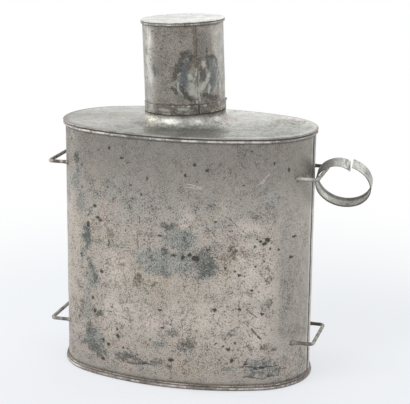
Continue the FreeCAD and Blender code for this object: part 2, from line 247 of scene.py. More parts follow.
class FLASK_PG_cup(bpy.types.PropertyGroup):
    """Sizes of the cup, the neck and the cork."""

    seat: length("Seat", "Height of the cup's rim over the floor, on its axis", 0.16815)
    rest_gap: length("Rest gap", "Between the cup's rim and the throat", 0.0003)
    radius: length("Radius", "Outside of the cup's wall", 0.02505)
    height: length("Height", "Rim to closed end", 0.0563)
    sheet: length("Sheet", "Thickness of the cup's sheet", 0.00035)
    hem: length("Hem", "Height of the folded rim", 0.00565)
    lap: angle("Lap", "Edge of the lap seam, round from +X", -56.0)
    lap_spread: angle("Lap spread", "How far round the outer sheet leaves the wall", 24.0)
    hem_gap: angle("Hem gap", "Opening in the hem at the lap seam", 1.9)
    wave: length("Wave", "How far the wall wanders from a true circle", 0.00011)
    sprung_lip: length("Sprung lip", "How far the hem's edge has sprung out at the right", 0.0009)
    neck_radius: length("Neck radius", "Outside of the neck", 0.0244)
    neck_low: length("Neck foot", "Lowest edge of the neck, from the cup's rim", -0.0065)
    neck_high: length("Neck mouth", "Mouth of the neck, from the cup's rim", 0.028)
    cork_low: length("Cork foot", "Lowest edge of the cork, from the cup's rim", 0.013)
    cork_high: length("Cork top", "Top of the cork, from the cup's rim", 0.037)
    cork_radius: length("Cork radius", "Radius of the cork", 0.02375)


class FLASK_PG_wire(bpy.types.PropertyGroup):
    """Sizes of the strap loops and of the ring."""

    wire: length("Wire", "Thickness of the loops' wire", 0.0023)
    bend: length("Bend", "Radius of the loops' corners", 0.0026)
    bar_x: length("Bar", "Middle of the loops' bars, along X", 0.0863)
    near_y: length("Near leg", "Middle of the front legs, along Y", -0.0205)
    far_y: length("Far leg", "Middle of the back legs, along Y", 0.0175)
    upper: length("Upper loops", "Height of the two upper loops", 0.133)
    lower: length("Lower loops", "Height of the two lower loops", 0.028)
    solder_swell: length("Solder swell", "How far the solder swells the wire at the wall", 0.0009)
    ring_x: length("Ring middle, X", "Middle of the ring's front edge", 0.0984)
    ring_z: length("Ring middle, Z", "Middle of the ring's front edge", 0.12501)
    ring_radius: length("Ring radius", "Middle of the ring's strip", 0.0171)
    ring_sheet: length("Ring sheet", "Thickness of the ring's strip", 0.0006)
    ring_width: length("Ring width", "Width of the ring's strip", 0.0078)
    ring_hem: length("Ring hem", "Width of the fold inside the far edge", 0.0014)
    ring_tilt: angle("Ring tilt", "How far the ring's axis rises towards +Y", 29.4)
    ring_start: angle("Ring start", "Where the strip's sprung end is, round from +X", 68.6)
    tail_start: angle("Tail start", "Where the other end starts to bend inwards", 108.0)
    tail_turn: angle("Tail turn", "How far the tail bends round", 61.0)
    tail_radius: length("Tail radius", "Radius of the tail's bend", 0.010)


class FLASK_PG_finish(bpy.types.PropertyGroup):
    """Colours of the worn metal, the solder and the cork."""

    warm_tin: colour("Warm tin", "Handled tin, low on the wall", (0.505, 0.45, 0.39))
    grey_tin: colour("Grey tin", "Dulled tin, high on the wall", (0.40, 0.385, 0.355))
    shoulder_tin: colour("Shoulder tin", "Tin of the shoulder plate", (0.505, 0.50, 0.452))
    cup_tin: colour("Cup tin", "Tin of the cup", (0.295, 0.278, 0.245))
    ring_tin: colour("Ring tin", "Tin of the strap ring", (0.43, 0.435, 0.40))
    wire_iron: colour("Wire iron", "Bare iron wire of the loops", (0.17, 0.135, 0.11))
    # The dull colour also paints shade: the darker front halves of the shoulder plate and its flare stand for a
    # dark reflection, and it darkens the wall's lower left.
    dull: colour("Dull stipple", "Dark greenish dots that crowd into patches", (0.115, 0.12, 0.108))
    bloom: colour("Bloom", "Grey-green oxide", (0.32, 0.345, 0.32))
    rub: colour("Rub", "Pale rubbed tin", (0.66, 0.59, 0.53))
    pit: colour("Pit", "Iron showing in the pits", (0.055, 0.047, 0.042))
    # Grime also paints shade: in the seams' grooves and under the bands, in the ring's fold and at its rims,
    # under the cup's hem, at the flare's lip, and under the wires and solder pads.
    grime: colour("Grime", "Dirt held in the seams", (0.085, 0.068, 0.06))
    scuff: colour("Scuff", "Edges scuffed bright", (0.66, 0.60, 0.57))
    burn: colour("Burn", "Flux burnt on beside the solder", (0.06, 0.055, 0.05))
    blue: colour("Blue", "Blue film left by heat", (0.105, 0.124, 0.131))
    rust: colour("Rust", "Brown iron rust", (0.115, 0.083, 0.058))
    solder: colour("Solder", "Pale solder", (0.42, 0.425, 0.38))
    cork: colour("Cork", "Cork bark", (0.52, 0.33, 0.19))
    cork_dark: colour("Cork pores", "Dark pores of the cork", (0.16, 0.075, 0.04))


class FLASK_PG_stage(bpy.types.PropertyGroup):
    """Floor, light and camera."""

    floor_size: length("Floor size", "Side of the square floor", 7.0)
    floor_tone: colour("Floor tone", "Pale floor", (0.91, 0.92, 0.95))
    floor_glow: share("Floor glow", "How much the floor's own tone outweighs its shading", 0.55)
    sky: share("Soft light", "Strength of the light from all round", 0.6)
    camera_from: FloatVectorProperty(
        name="Camera", description="Where the camera stands", default=(0.22719, -0.79957, 0.32417),
        size=3, subtype="TRANSLATION", unit="LENGTH",
    )
    camera_at: FloatVectorProperty(
        name="Aim", description="What the camera looks at", default=(0.0107, 0.0, 0.1084),
        size=3, subtype="TRANSLATION", unit="LENGTH",
    )
    camera_roll: angle("Roll", "Turn of the camera about its own line of sight", 0.6)
    focal: FloatProperty(
        name="Focal length", description="For a sensor 36 mm wide", default=118.54, unit="CAMERA"
    )


def smooth(value, low, high):
    """Rises gently from 0 at low to 1 at high."""
    part = min(1.0, max(0.0, (value - low) / (high - low)))
    return part * part * (3 - 2 * part)


def blend(first, second, part):
    return first + (second - first) * part


class Oval:
    """The wall's outline: two tight ends joined smoothly by two long, flatter arcs."""

    def __init__(self, body):
        self.end_radius = body.end_radius
        self.end_x = body.half_length - body.end_radius
        deeper = body.half_depth - body.end_radius
        self.side_radius = (self.end_x**2 + body.half_depth**2 - body.end_radius**2) / (2 * deeper)
        self.side_y = self.side_radius - body.half_depth
        self.turn = math.atan2(self.side_y, self.end_x)
        self.end_run = self.end_radius * self.turn
        self.quarter = self.end_run + self.side_radius * (math.pi / 2 - self.turn)

    def at(self, along):
        """Point on the outline and the way out of it, a distance round from the tip at +X."""
        lap = 4 * self.quarter
        along %= lap
        side, run = divmod(along, self.quarter)
        if side in (1, 3):
            run = self.quarter - run
        if run < self.end_run:
            turn = run / self.end_radius
            x = self.end_x + self.end_radius * math.cos(turn)
            y = self.end_radius * math.sin(turn)
        else:
            turn = self.turn + (run - self.end_run) / self.side_radius
            x = self.side_radius * math.cos(turn)
            y = self.side_radius * math.sin(turn) - self.side_y
        flip_x = -1 if side in (1, 2) else 1
        flip_y = -1 if side in (2, 3) else 1
        out = Vector((math.cos(turn) * flip_x, math.sin(turn) * flip_y, 0))
        return Vector((x * flip_x, y * flip_y, 0)), out

    def columns(self, spacing):
        """(point, way out, distance round) at even steps."""
        count = round(4 * self.quarter / spacing)
        steps = [4 * self.quarter * i / count for i in range(count)]
        return [(*self.at(step), step) for step in steps]


def skin(name, rings, wear=None, loop=True, cap_first=False, cap_last=False):
    """Joins equal rings of points into one smooth mesh piece.

    A loop joins the last ring back to the first, and a cap closes an end with a fan.
    Wear holds rows of values for each named layer, one for each point of each ring.
    """
    count = len(rings[0])
    points = [point for ring in rings for point in ring]
    faces = []
    for row in range(len(rings) if loop else len(rings) - 1):
        low = row * count
        high = (row + 1) % len(rings) * count
        for i in range(count):
            j = (i + 1) % count
            faces.append((low + i, low + j, high + j, high + i))
    layers = {key: [value for row in rows for value in row] for key, rows in (wear or {}).items()}
    for wanted, ring, start, turn in (
        (cap_first, rings[0], 0, True),
        (cap_last, rings[-1], (len(rings) - 1) * count, False),
    ):
        if wanted:
            middle = sum(ring, Vector()) / count
            points.append(middle)
            for values in layers.values():
                values.append(values[start])
            hub = len(points) - 1
            for i in range(count):
                j = (i + 1) % count
                pair = (start + j, start + i) if turn else (start + i, start + j)
                faces.append((*pair, hub))
    mesh = bpy.data.meshes.new(name)
    mesh.from_pydata(points, [], faces)
    mesh.update()
    volume = sum(
        points[f[0]].dot(points[f[k]].cross(points[f[k + 1]])) for f in faces for k in range(1, len(f) - 1)
    )
    if volume < 0:
        mesh.flip_normals()
    mesh.shade_smooth()
    mesh.set_sharp_from_angle(angle=math.radians(48))
    for key, values in layers.items():
        layer = mesh.attributes.new(key, "FLOAT", "POINT")
        layer.data.foreach_set("value", values)
    piece = bpy.data.objects.new(name, mesh)
    bpy.context.scene.collection.objects.link(piece)
    return piece


def finished(piece, body, slot, material, *nodes):
    """Gives a piece its material, hangs it under the empty for what it rides on, and hides the packed parts it
    stands for.
    """
    piece.data.materials.append(material)
    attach(piece, body)
    if nodes:
        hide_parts(*nodes)


def rough(point, size, seed=0.0):
    """Smooth wandering value from about -1 to 1, with features of about this size."""
    return noise.noise(Vector(point) / size + Vector((seed, seed * 1.7, -seed)))


def mark_strength(place, marks, soft=1.0, stretch=1.0):
    """How strongly any of the soft marks covers a place given as (across, up)."""
    most = 0.0
    across, up = place
    for middle, level, half_width, half_height in marks:
        far = math.hypot((across - middle) / half_width / stretch, (up - level) / half_height)
        if far < 1 + soft:
            most = max(most, 1 - smooth(far, 1 - 0.6 * soft, 1 + 0.6 * soft))
    return most


def stroke_strength(place, strokes, round_size):
    """How strongly any brush stroke covers a place given as (degrees, height in millimetres)."""
    per_degree = math.radians(1.0) * round_size / MM
    most = 0.0
    for *path, half in strokes:
        for (a0, h0), (a1, h1) in zip(path, path[1:]):
            gap = ((place[0] - a0) * per_degree, place[1] - h0)
            run = ((a1 - a0) * per_degree, h1 - h0)
            part = (gap[0] * run[0] + gap[1] * run[1]) / (run[0] ** 2 + run[1] ** 2)
            part = min(1.0, max(0.0, part))
            far = math.hypot(gap[0] - part * run[0], gap[1] - part * run[1])
            if far < 2.2 * half:
                most = max(most, 1 - smooth(far, 0.35 * half, 1.9 * half))
    return most


def line_distance(place, line):
    """Distance from a place to a line's nearest point, in the line's own unit."""
    start, end = Vector(line[:2]), Vector(line[2:4])
    run = end - start
    part = min(1.0, max(0.0, (Vector(place) - start).dot(run) / run.length_squared))
    return (Vector(place) - start - run * part).length


# Materials


def put(tree, kind, inputs=None, **settings):
    """Adds a node, sets its options, and fills or links its inputs."""
    item = tree.nodes.new(kind)
    for key, value in settings.items():
        setattr(item, key, value)
    for key, value in (inputs or {}).items():
        if isinstance(value, bpy.types.NodeSocket):
            tree.links.new(value, item.inputs[key])
        else:
            item.inputs[key].default_value = value
    return item


def sums(tree, operation, first, second=0.0, clamp=False):
    return put(tree, "ShaderNodeMath", {0: first, 1: second}, operation=operation, use_clamp=clamp).outputs[0]


def times(tree, first, second, clamp=False):
    return sums(tree, "MULTIPLY", first, second, clamp)


def plus(tree, first, second, clamp=False):
    return sums(tree, "ADD", first, second, clamp)


def minus(tree, first, second, clamp=False):
    return sums(tree, "SUBTRACT", first, second, clamp)


def larger(tree, first, second):
    return sums(tree, "MAXIMUM", first, second)


def ramp(tree, value, low, high, to_low=0.0, to_high=1.0):
    inputs = {"Value": value, "From Min": low, "From Max": high, "To Min": to_low, "To Max": to_high}
    return put(tree, "ShaderNodeMapRange", inputs, clamp=True, interpolation_type="SMOOTHSTEP").outputs[0]


def mixed(tree, part, first, second, blend_type="MIX"):
    first = first if isinstance(first, bpy.types.NodeSocket) else (*first, 1)
    second = second if isinstance(second, bpy.types.NodeSocket) else (*second, 1)
    item = put(tree, "ShaderNodeMix", {0: part, 6: first, 7: second}, data_type="RGBA", blend_type=blend_type)
    return item.outputs[2]


def clouds(tree, place, scale, detail=3.0, rough_part=0.55, twist=0.0):
    inputs = {"Vector": place, "Scale": scale, "Detail": detail, "Roughness": rough_part, "Distortion": twist}
    return put(tree, "ShaderNodeTexNoise", inputs).outputs["Fac"]


def layer(tree, name):
    """A wear layer painted on the piece's points. A piece without it reads zero."""
    return put(tree, "ShaderNodeAttribute", attribute_name=name).outputs["Fac"]


def new_material(name):
    material = bpy.data.materials.new(name)
    material.use_nodes = True
    material.node_tree.nodes.clear()
    return material, material.node_tree


def vector_sums(tree, operation, first, second=None):
    """One step of vector arithmetic: its value where that is one number, or else its vector."""
    inputs = {0: first} if second is None else {0: first, 1: second}
    item = put(tree, "ShaderNodeVectorMath", inputs, operation=operation)
    return item.outputs["Value" if operation in ("LENGTH", "DISTANCE", "DOT_PRODUCT") else "Vector"]


def stretched(tree, vector, part):
    return put(tree, "ShaderNodeVectorMath", {0: vector, "Scale": part}, operation="SCALE").outputs[0]


def greys(tree, value):
    """The same value in all three channels, for a colour to be multiplied by."""
    return put(tree, "ShaderNodeCombineColor", {0: value, 1: value, 2: value}).outputs[0]


def shaded(tone, *parts):
    """A colour times one part, or times one part for each channel."""
    parts = parts * 3 if len(parts) == 1 else parts
    return tuple(part * channel for part, channel in zip(parts, tone))


def strongest(tree, amounts):
    """The largest of several amounts."""
    total = amounts[0]
    for amount in amounts[1:]:
        total = larger(tree, total, amount)
    return total


def mark_group(name, places, sizes=()):
    """A node group from places and sizes to one amount, with the sockets that come into it."""
    group = bpy.data.node_groups.new(name, "ShaderNodeTree")
    for key in places:
        group.interface.new_socket(key, in_out="INPUT", socket_type="NodeSocketVector")
    for key in sizes:
        group.interface.new_socket(key, in_out="INPUT", socket_type="NodeSocketFloat")
    group.interface.new_socket("Amount", in_out="OUTPUT", socket_type="NodeSocketFloat")
    return group, put(group, "NodeGroupInput").outputs


def pit_group():
    """One small mark: 1 inside an ellipsoid round its middle, falling to 0 at its edge."""
    group, given = mark_group("Pit", ("Place", "Middle", "Half Size"))
    gap = vector_sums(group, "SUBTRACT", given["Place"], given["Middle"])
    far = vector_sums(group, "LENGTH", vector_sums(group, "DIVIDE", gap, given["Half Size"]))
    put(group, "NodeGroupOutput", {"Amount": ramp(group, far, 1.25, 0.65)})
    return group


def scored_group():
    """One line on the wall's front: 1 on the line, falling to 0 beside it."""
    group, given = mark_group("Score", ("Place", "Start", "Run"), ("Reach", "Half Width"))
    gap = vector_sums(group, "SUBTRACT", given["Place"], given["Start"])
    dot = vector_sums(group, "DOT_PRODUCT", gap, given["Run"])
    nearest = stretched(group, given["Run"], times(group, dot, given["Reach"], True))
    wide = sums(group, "DIVIDE", vector_sums(group, "DISTANCE", gap, nearest), given["Half Width"])
    put(group, "NodeGroupOutput", {"Amount": ramp(group, wide, 1.7, 0.6)})
    return group


def scored(tree, place, lines, wander):
    """Lines drawn on the wall's front, as one amount. They wander by about this far."""
    group = bpy.data.node_groups.get("Score") or scored_group()
    wandering = jitter(tree, jitter(tree, place, 0.4 * wander), wander, 200.0)
    parts = put(tree, "ShaderNodeSeparateXYZ", {0: wandering}).outputs
    flat = put(tree, "ShaderNodeCombineXYZ", {0: parts["X"], 2: parts["Z"]}).outputs[0]
    amounts = []
    for x0, z0, x1, z1, half_width, *depth in lines:
        run = ((x1 - x0) * MM, 0.0, (z1 - z0) * MM)
        item = put(tree, "ShaderNodeGroup", {
            "Place": flat, "Start": (x0 * MM, 0.0, z0 * MM), "Run": run,
            "Reach": 1 / (run[0] ** 2 + run[2] ** 2), "Half Width": half_width * MM,
        }, node_tree=group)
        amounts.append(item.outputs[0])
    return times(tree, strongest(tree, amounts), sums(tree, "LESS_THAN", parts["Y"], 0.0))


def jitter(tree, place, far, scale=800.0):
    """The place, pushed about a little, so that marks get ragged outlines."""
    wobble = put(tree, "ShaderNodeTexNoise", {"Vector": place, "Scale": scale, "Detail": 2.0})
    nudge = vector_sums(tree, "SUBTRACT", wobble.outputs["Color"], (0.5, 0.5, 0.5))
    return vector_sums(tree, "ADD", place, stretched(tree, nudge, far))


def wall_pits(tree, place, body):
    """The pits seen on the front, and the same ones on the back where nobody has looked."""
    outline = Oval(body)
    parts = put(tree, "ShaderNodeSeparateXYZ", {0: jitter(tree, place, 0.0022)}).outputs
    front = times(tree, sums(tree, "ABSOLUTE", parts["Y"]), -1.0)
    folded = put(tree, "ShaderNodeCombineXYZ", {0: parts["X"], 1: front, 2: parts["Z"]}).outputs[0]
    group = pit_group()
    amounts = []
    for x, z, half_width, half_height in PITS:
        middle = (x * MM, front_depth(outline, x * MM), z * MM)
        half_size = (half_width * MM, half_width * MM, half_height * MM)
        inputs = {"Place": folded, "Middle": middle, "Half Size": half_size}
        amounts.append(put(tree, "ShaderNodeGroup", inputs, node_tree=group).outputs[0])
    return strongest(tree, amounts)


def front_depth(outline, x):
    """Y of the wall's front at x."""
    if abs(x) < outline.side_radius * math.cos(outline.turn):
        return outline.side_y - math.sqrt(outline.side_radius**2 - x**2)
    return -math.sqrt(max(0.0, outline.end_radius**2 - (abs(x) - outline.end_x) ** 2))


def edged(tree, amount, wobble, spread=0.9, low=0.36, high=0.62):
    """A painted layer with its soft edge broken up into a ragged one."""
    shifted = plus(tree, amount, ramp(tree, wobble, 0.3, 0.7, -0.5 * spread, 0.5 * spread))
    return times(tree, ramp(tree, shifted, low, high), ramp(tree, amount, 0.02, 0.2))


def crackle(tree, place, dull):
    """Fine wandering dark lines, in places, where the tin has crazed."""
    wandering = jitter(tree, jitter(tree, place, 0.006, 140.0), 0.0016)
    inputs = {"Vector": wandering, "Scale": 175.0, "Randomness": 1.0}
    cells = put(tree, "ShaderNodeTexVoronoi", inputs, feature="DISTANCE_TO_EDGE")
    line = ramp(tree, cells.outputs["Distance"], 0.055, 0.015)
    where = ramp(tree, clouds(tree, place, 36.0, 3.0, 0.6, 0.5), 0.50, 0.60, 0.0, 0.7)
    broken = ramp(tree, clouds(tree, place, 330.0, 2.0), 0.44, 0.56)
    return times(tree, times(tree, line, larger(tree, where, times(tree, dull, 0.4))), broken)


def speck_marks(tree, place, sleek, strength):
    """Small dark specks of two sizes, crowded in places and rare where the tin is sleek."""
    amounts = []
    for scale, far, often in ((620.0, 0.40, 0.66), (270.0, 0.34, 0.80)):
        moved = vector_sums(tree, "ADD", jitter(tree, place, 0.0012), (scale * 0.1,) * 3)
        inputs = {"Vector": moved, "Scale": scale, "Randomness": 1.0}
        cells = put(tree, "ShaderNodeTexVoronoi", inputs).outputs
        pick = put(tree, "ShaderNodeSeparateColor", {0: cells["Color"]}).outputs
        rare = ramp(tree, clouds(tree, moved, 42.0, 4.0), 0.40, 0.62, 0.975, often)
        chosen = sums(tree, "GREATER_THAN", pick[0], plus(tree, rare, times(tree, sleek, 0.3)))
        size = ramp(tree, pick[1], 0.0, 1.0, 0.6 * far, far)
        dot = ramp(tree, minus(tree, size, cells["Distance"]), 0.0, 0.14, 0.0, strength)
        amounts.append(times(tree, chosen, dot))
    return strongest(tree, amounts)


class WornTin:
    """Old tinned sheet, laid coat by coat: clouds, patches, stipple, stains, then marks.

    The body is given for the wall's tin alone, which also has what shows on its front.
    """

    def __init__(self, name, finish, pale, dark, body=None):
        self.finish, self.pale, self.dark, self.body = finish, pale, dark, body
        tone_size, self.stipple, self.specks, self.roughness, self.metallic = LOOKS[name]
        self.material, tree = new_material(name)
        self.tree = tree
        self.place = put(tree, "ShaderNodeTexCoord").outputs["Object"]
        self.height = put(tree, "ShaderNodeSeparateXYZ", {0: self.place}).outputs["Z"]
        self.broad = clouds(tree, self.place, 1 / tone_size, 5.0, 0.6, 0.4)
        self.mottle = clouds(tree, self.place, 130.0, 5.0, 0.65, 0.3)
        self.ragged = clouds(tree, self.place, 480.0, 4.0, 0.7)
        self.fine = clouds(tree, self.place, 1250.0, 3.0, 0.8)
        self.grain = clouds(tree, self.place, 2100.0, 1.0, 0.5)
        self.rub, self.sleek = layer(tree, "rub"), layer(tree, "sleek")
        self.dull = edged(tree, layer(tree, "dull"), self.ragged, 0.7, 0.05, 0.95)
        crumbs = clouds(tree, self.place, 300.0, 5.0, 0.75)
        self.bloom = edged(tree, layer(tree, "bloom"), crumbs, 0.7, 0.0, 1.1)
        self.lay_clouds()
        self.lay_patches()
        self.lay_stipple()
        self.lay_stains()
        self.lay_marks()
        self.lay_shader()

    def coat(self, amount, tone, blend_type="MIX"):
        """Lays a colour over what is there."""
        self.shade = mixed(self.tree, amount, self.shade, tone, blend_type)

    def lay_clouds(self):
        """Broad light and dark, with yellower and pinker parts. The wall is palest low down."""
        tree = self.tree
        tone = ramp(tree, self.broad, 0.36, 0.66)
        if self.body is not None:
            low = ramp(tree, self.height, 0.128, 0.085)
            tone = plus(tree, times(tree, tone, 0.3), times(tree, low, 0.7), True)
        self.shade = mixed(tree, tone, self.dark, self.pale)
        warmth = clouds(tree, self.place, 58.0, 4.0, 0.6, 0.6)
        self.coat(ramp(tree, warmth, 0.52, 0.68, 0.0, 0.5), shaded(self.pale, 1.06, 0.98, 0.86))
        self.coat(ramp(tree, warmth, 0.47, 0.32, 0.0, 0.65), shaded(self.pale, 1.05, 0.93, 0.97))

    def lay_patches(self):
        """Rubbed, bloomed and dull patches, then the wall's sleek parts and its crazing."""
        tree, finish = self.tree, self.finish
        for amount, texture, span, tone in (
            (self.rub, self.mottle, (0.35, 0.65, 0.8, 0.35), finish.rub),
            (self.bloom, self.mottle, (0.3, 0.6, 0.55, 0.9), finish.bloom),
            (self.dull, self.ragged, (0.3, 0.65, 0.12, 0.55), finish.dull),
        ):
            self.coat(times(tree, amount, ramp(tree, texture, *span)), tone)
        if self.body is not None:
            drawn = vector_sums(tree, "MULTIPLY", self.place, (1.0, 1.0, 0.05))
            streaky = ramp(tree, clouds(tree, drawn, 420.0, 3.0), 0.3, 0.7, 0.75, 1.0)
            lower = ramp(tree, self.height, 0.122, 0.07)
            in_strip = times(tree, times(tree, ramp(tree, self.sleek, 0.85, 1.25), lower), streaky)
            even = mixed(tree, in_strip, shaded(finish.grey_tin, 0.80), shaded(finish.grey_tin, 0.50))
            self.coat(times(tree, self.sleek, 0.7), even)
            self.coat(crackle(tree, self.place, self.dull), finish.pit)

    def lay_stipple(self):
        """Fine dark dots, crowded where the tin is dull, with pale flecks between them."""
        tree = self.tree
        mottled = ramp(tree, self.mottle, 0.40, 0.70, -0.06, 0.22)
        crowd = plus(tree, mottled, times(tree, self.dull, 0.33))
        crowd = plus(tree, crowd, times(tree, self.bloom, 0.12))
        crowd = minus(tree, crowd, times(tree, self.rub, 0.04))
        crowd = minus(tree, crowd, times(tree, self.sleek, 0.33))
        reach = plus(tree, ramp(tree, self.fine, 0.30, 0.70), crowd)
        self.dots = ramp(tree, reach, 0.58, 0.94, 0.0, self.stipple)
        self.coat(self.dots, self.finish.dull)
        flecks = ramp(tree, reach, 0.40, 0.12, 0.0, 0.4 * self.stipple)
        self.coat(flecks, tuple(min(1.0, 1.35 * channel) for channel in self.pale))

    def lay_stains(self):
        """The painted stains, dirt with painted shade, scuffs, and pale tin with painted highlights, then the
        grain and the wall's darker top.
        """
        tree, finish = self.tree, self.finish
        for key, least, most in (
            ("blue", 0.6, 0.88), ("rust", 0.3, 0.85), ("burn", 0.6, 0.74), ("solder", 0.6, 0.8),
        ):
            amount = edged(tree, layer(tree, key), self.ragged, 1.1, 0.15, 0.85)
            broken = ramp(tree, self.fine, 0.35, 0.58, least * most, most)
            self.coat(times(tree, amount, broken), getattr(finish, key))
        dirty_and_shaded = ramp(tree, self.mottle, 0.25, 0.6, 0.65, 1.0)
        self.coat(times(tree, layer(tree, "grime"), dirty_and_shaded), finish.grime)
        flakes = clouds(tree, self.place, 210.0, 5.0, 0.75)
        self.coat(edged(tree, layer(tree, "scuff"), flakes, 1.3), finish.scuff)
        # Pale tin and painted highlights and reflections, broken up by the mottle.
        patchy_highlight = ramp(tree, self.mottle, 0.3, 0.6, 0.97, 0.6)
        self.coat(times(tree, layer(tree, "bright"), patchy_highlight), PALE_TIN_AND_HIGHLIGHT)
        self.coat(1.0, greys(tree, ramp(tree, self.grain, 0.28, 0.72, 0.80, 1.18)), "MULTIPLY")
        if self.body is not None:
            fade = ramp(tree, self.height, 0.153, 0.098, 0.60, 0.97)
            fade = times(tree, fade, ramp(tree, self.height, 0.003, 0.03, 0.87, 1.0))
            self.coat(1.0, greys(tree, fade), "MULTIPLY")

    def lay_marks(self):
        """Specks, and on the wall its scratches, creases and pits."""
        tree, place = self.tree, self.place
        self.marks = speck_marks(tree, place, self.sleek, self.specks)
        if self.body is not None:
            broken = ramp(tree, self.fine, 0.42, 0.58, 0.1, 0.85)
            self.coat(times(tree, scored(tree, place, SCRATCHES, 0.0008), broken), self.finish.scuff)
            patchy = ramp(tree, self.ragged, 0.3, 0.6, 0.45, 0.9)
            creased = times(tree, scored(tree, place, SCORES, 0.003), patchy)
            pitted = times(tree, wall_pits(tree, place, self.body), 0.95)
            self.marks = larger(tree, self.marks, larger(tree, creased, pitted))
        self.coat(self.marks, self.finish.pit)

    def lay_shader(self):
        """The surface, rougher and less metallic where it is marked or dirty."""
        tree, grime = self.tree, layer(self.tree, "grime")
        low, high = self.roughness - 0.05, self.roughness + 0.08
        shine = plus(tree, ramp(tree, self.mottle, 0.3, 0.7, low, high), times(tree, self.marks, 0.3))
        stained = times(tree, larger(tree, self.dots, layer(tree, "burn")), 0.12)
        shine = plus(tree, shine, plus(tree, stained, times(tree, grime, 0.25)), True)
        sunk = plus(tree, self.marks, times(tree, self.dots, 0.5))
        relief = minus(tree, times(tree, self.grain, 0.4), sunk)
        bump = put(tree, "ShaderNodeBump", {"Strength": 0.4, "Distance": 0.0001, "Height": relief})
        covered = plus(tree, self.marks, larger(tree, grime, layer(tree, "rust")))
        shader = put(tree, "ShaderNodeBsdfPrincipled", {
            "Base Color": self.shade,
            "Roughness": shine,
            "Metallic": minus(tree, self.metallic, times(tree, covered, 0.45), True),
            "Normal": bump.outputs[0],
        })
        put(tree, "ShaderNodeOutputMaterial", {"Surface": shader.outputs[0]})


def cork_bark(finish):
    """Cork: warm flecked bark with dark pores."""
    material, tree = new_material("cork")
    place = put(tree, "ShaderNodeTexCoord").outputs["Object"]
    flecks = clouds(tree, place, 260.0, 4.0, 0.7)
    cells = put(tree, "ShaderNodeTexVoronoi", {"Vector": place, "Scale": 330.0})
    pores = ramp(tree, clouds(tree, place, 130.0, 5.0, 0.75, 1.2), 0.56, 0.66)
    base = mixed(tree, ramp(tree, flecks, 0.35, 0.65), shaded(finish.cork, 0.72), finish.cork)
    base = mixed(tree, ramp(tree, cells.outputs["Distance"], 0.2, 0.7, 0.0, 0.25), base, PALE_CORK)
    base = mixed(tree, pores, base, finish.cork_dark)
    relief = minus(tree, times(tree, flecks, 0.4), pores)
    bump = put(tree, "ShaderNodeBump", {"Strength": 0.7, "Distance": 0.0004, "Height": relief})
    inputs = {"Base Color": base, "Roughness": 0.88, "Normal": bump.outputs[0]}
    shader = put(tree, "ShaderNodeBsdfPrincipled", inputs)
    put(tree, "ShaderNodeOutputMaterial", {"Surface": shader.outputs[0]})
    return material


def tin_for(slot):
    """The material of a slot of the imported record, made once."""
    if slot in bpy.data.materials and bpy.data.materials[slot].get("flask_finish"):
        return bpy.data.materials[slot]
    for old in [m for m in bpy.data.materials if m.name == slot]:
        old.name = slot + "_plain"
    finish, body = bpy.context.scene.flask_finish, bpy.context.scene.flask_body
    if slot == "cork":
        made = cork_bark(finish)
    elif slot == "body_tin":
        made = WornTin(slot, finish, finish.warm_tin, finish.grey_tin, body).material
    else:
        pale = finish.wire_iron if slot == "wire" else getattr(finish, slot)
        made = WornTin(slot, finish, pale, shaded(pale, 0.72)).material
    made["flask_finish"] = True
    return made


# Shapes


def wall_columns(body):
    """(point, way out, distance round, rise off the wall) with extra columns at the seam."""
    outline = Oval(body)
    lap = 4 * outline.quarter
    edge = 3.9 * MM
    count = round((lap - 2 * edge) / COLUMN_STEP)
    places = [(gap * MM, rise * MM) for gap, rise in UPRIGHT_SEAM]
    places += [(edge + (lap - 2 * edge) * i / count, 0.0) for i in range(count + 1)]
    return [(*outline.at(along), along, rise) for along, rise in places]


def wall_shift(point, z, body):
    """How far the wall stands off the true oval at a place. Creases go inwards."""
    low = smooth(z, 0.004, 0.012) * smooth(body.height - z, 0.004, 0.012)
    spot = (point.x, point.y, z)
    shift = body.wave * (rough(spot, 0.038, 3.0) + 0.45 * rough(spot, 0.014, 7.0) - 0.35)
    if point.y < 0:
        place = (point.x / MM, z / MM)
        for line in SCORES:
            if line[5] > 0:
                far = line_distance(place, line)
                shift -= line[5] * MM * math.exp(-((far / (1.6 * line[4])) ** 2))
    return shift * low


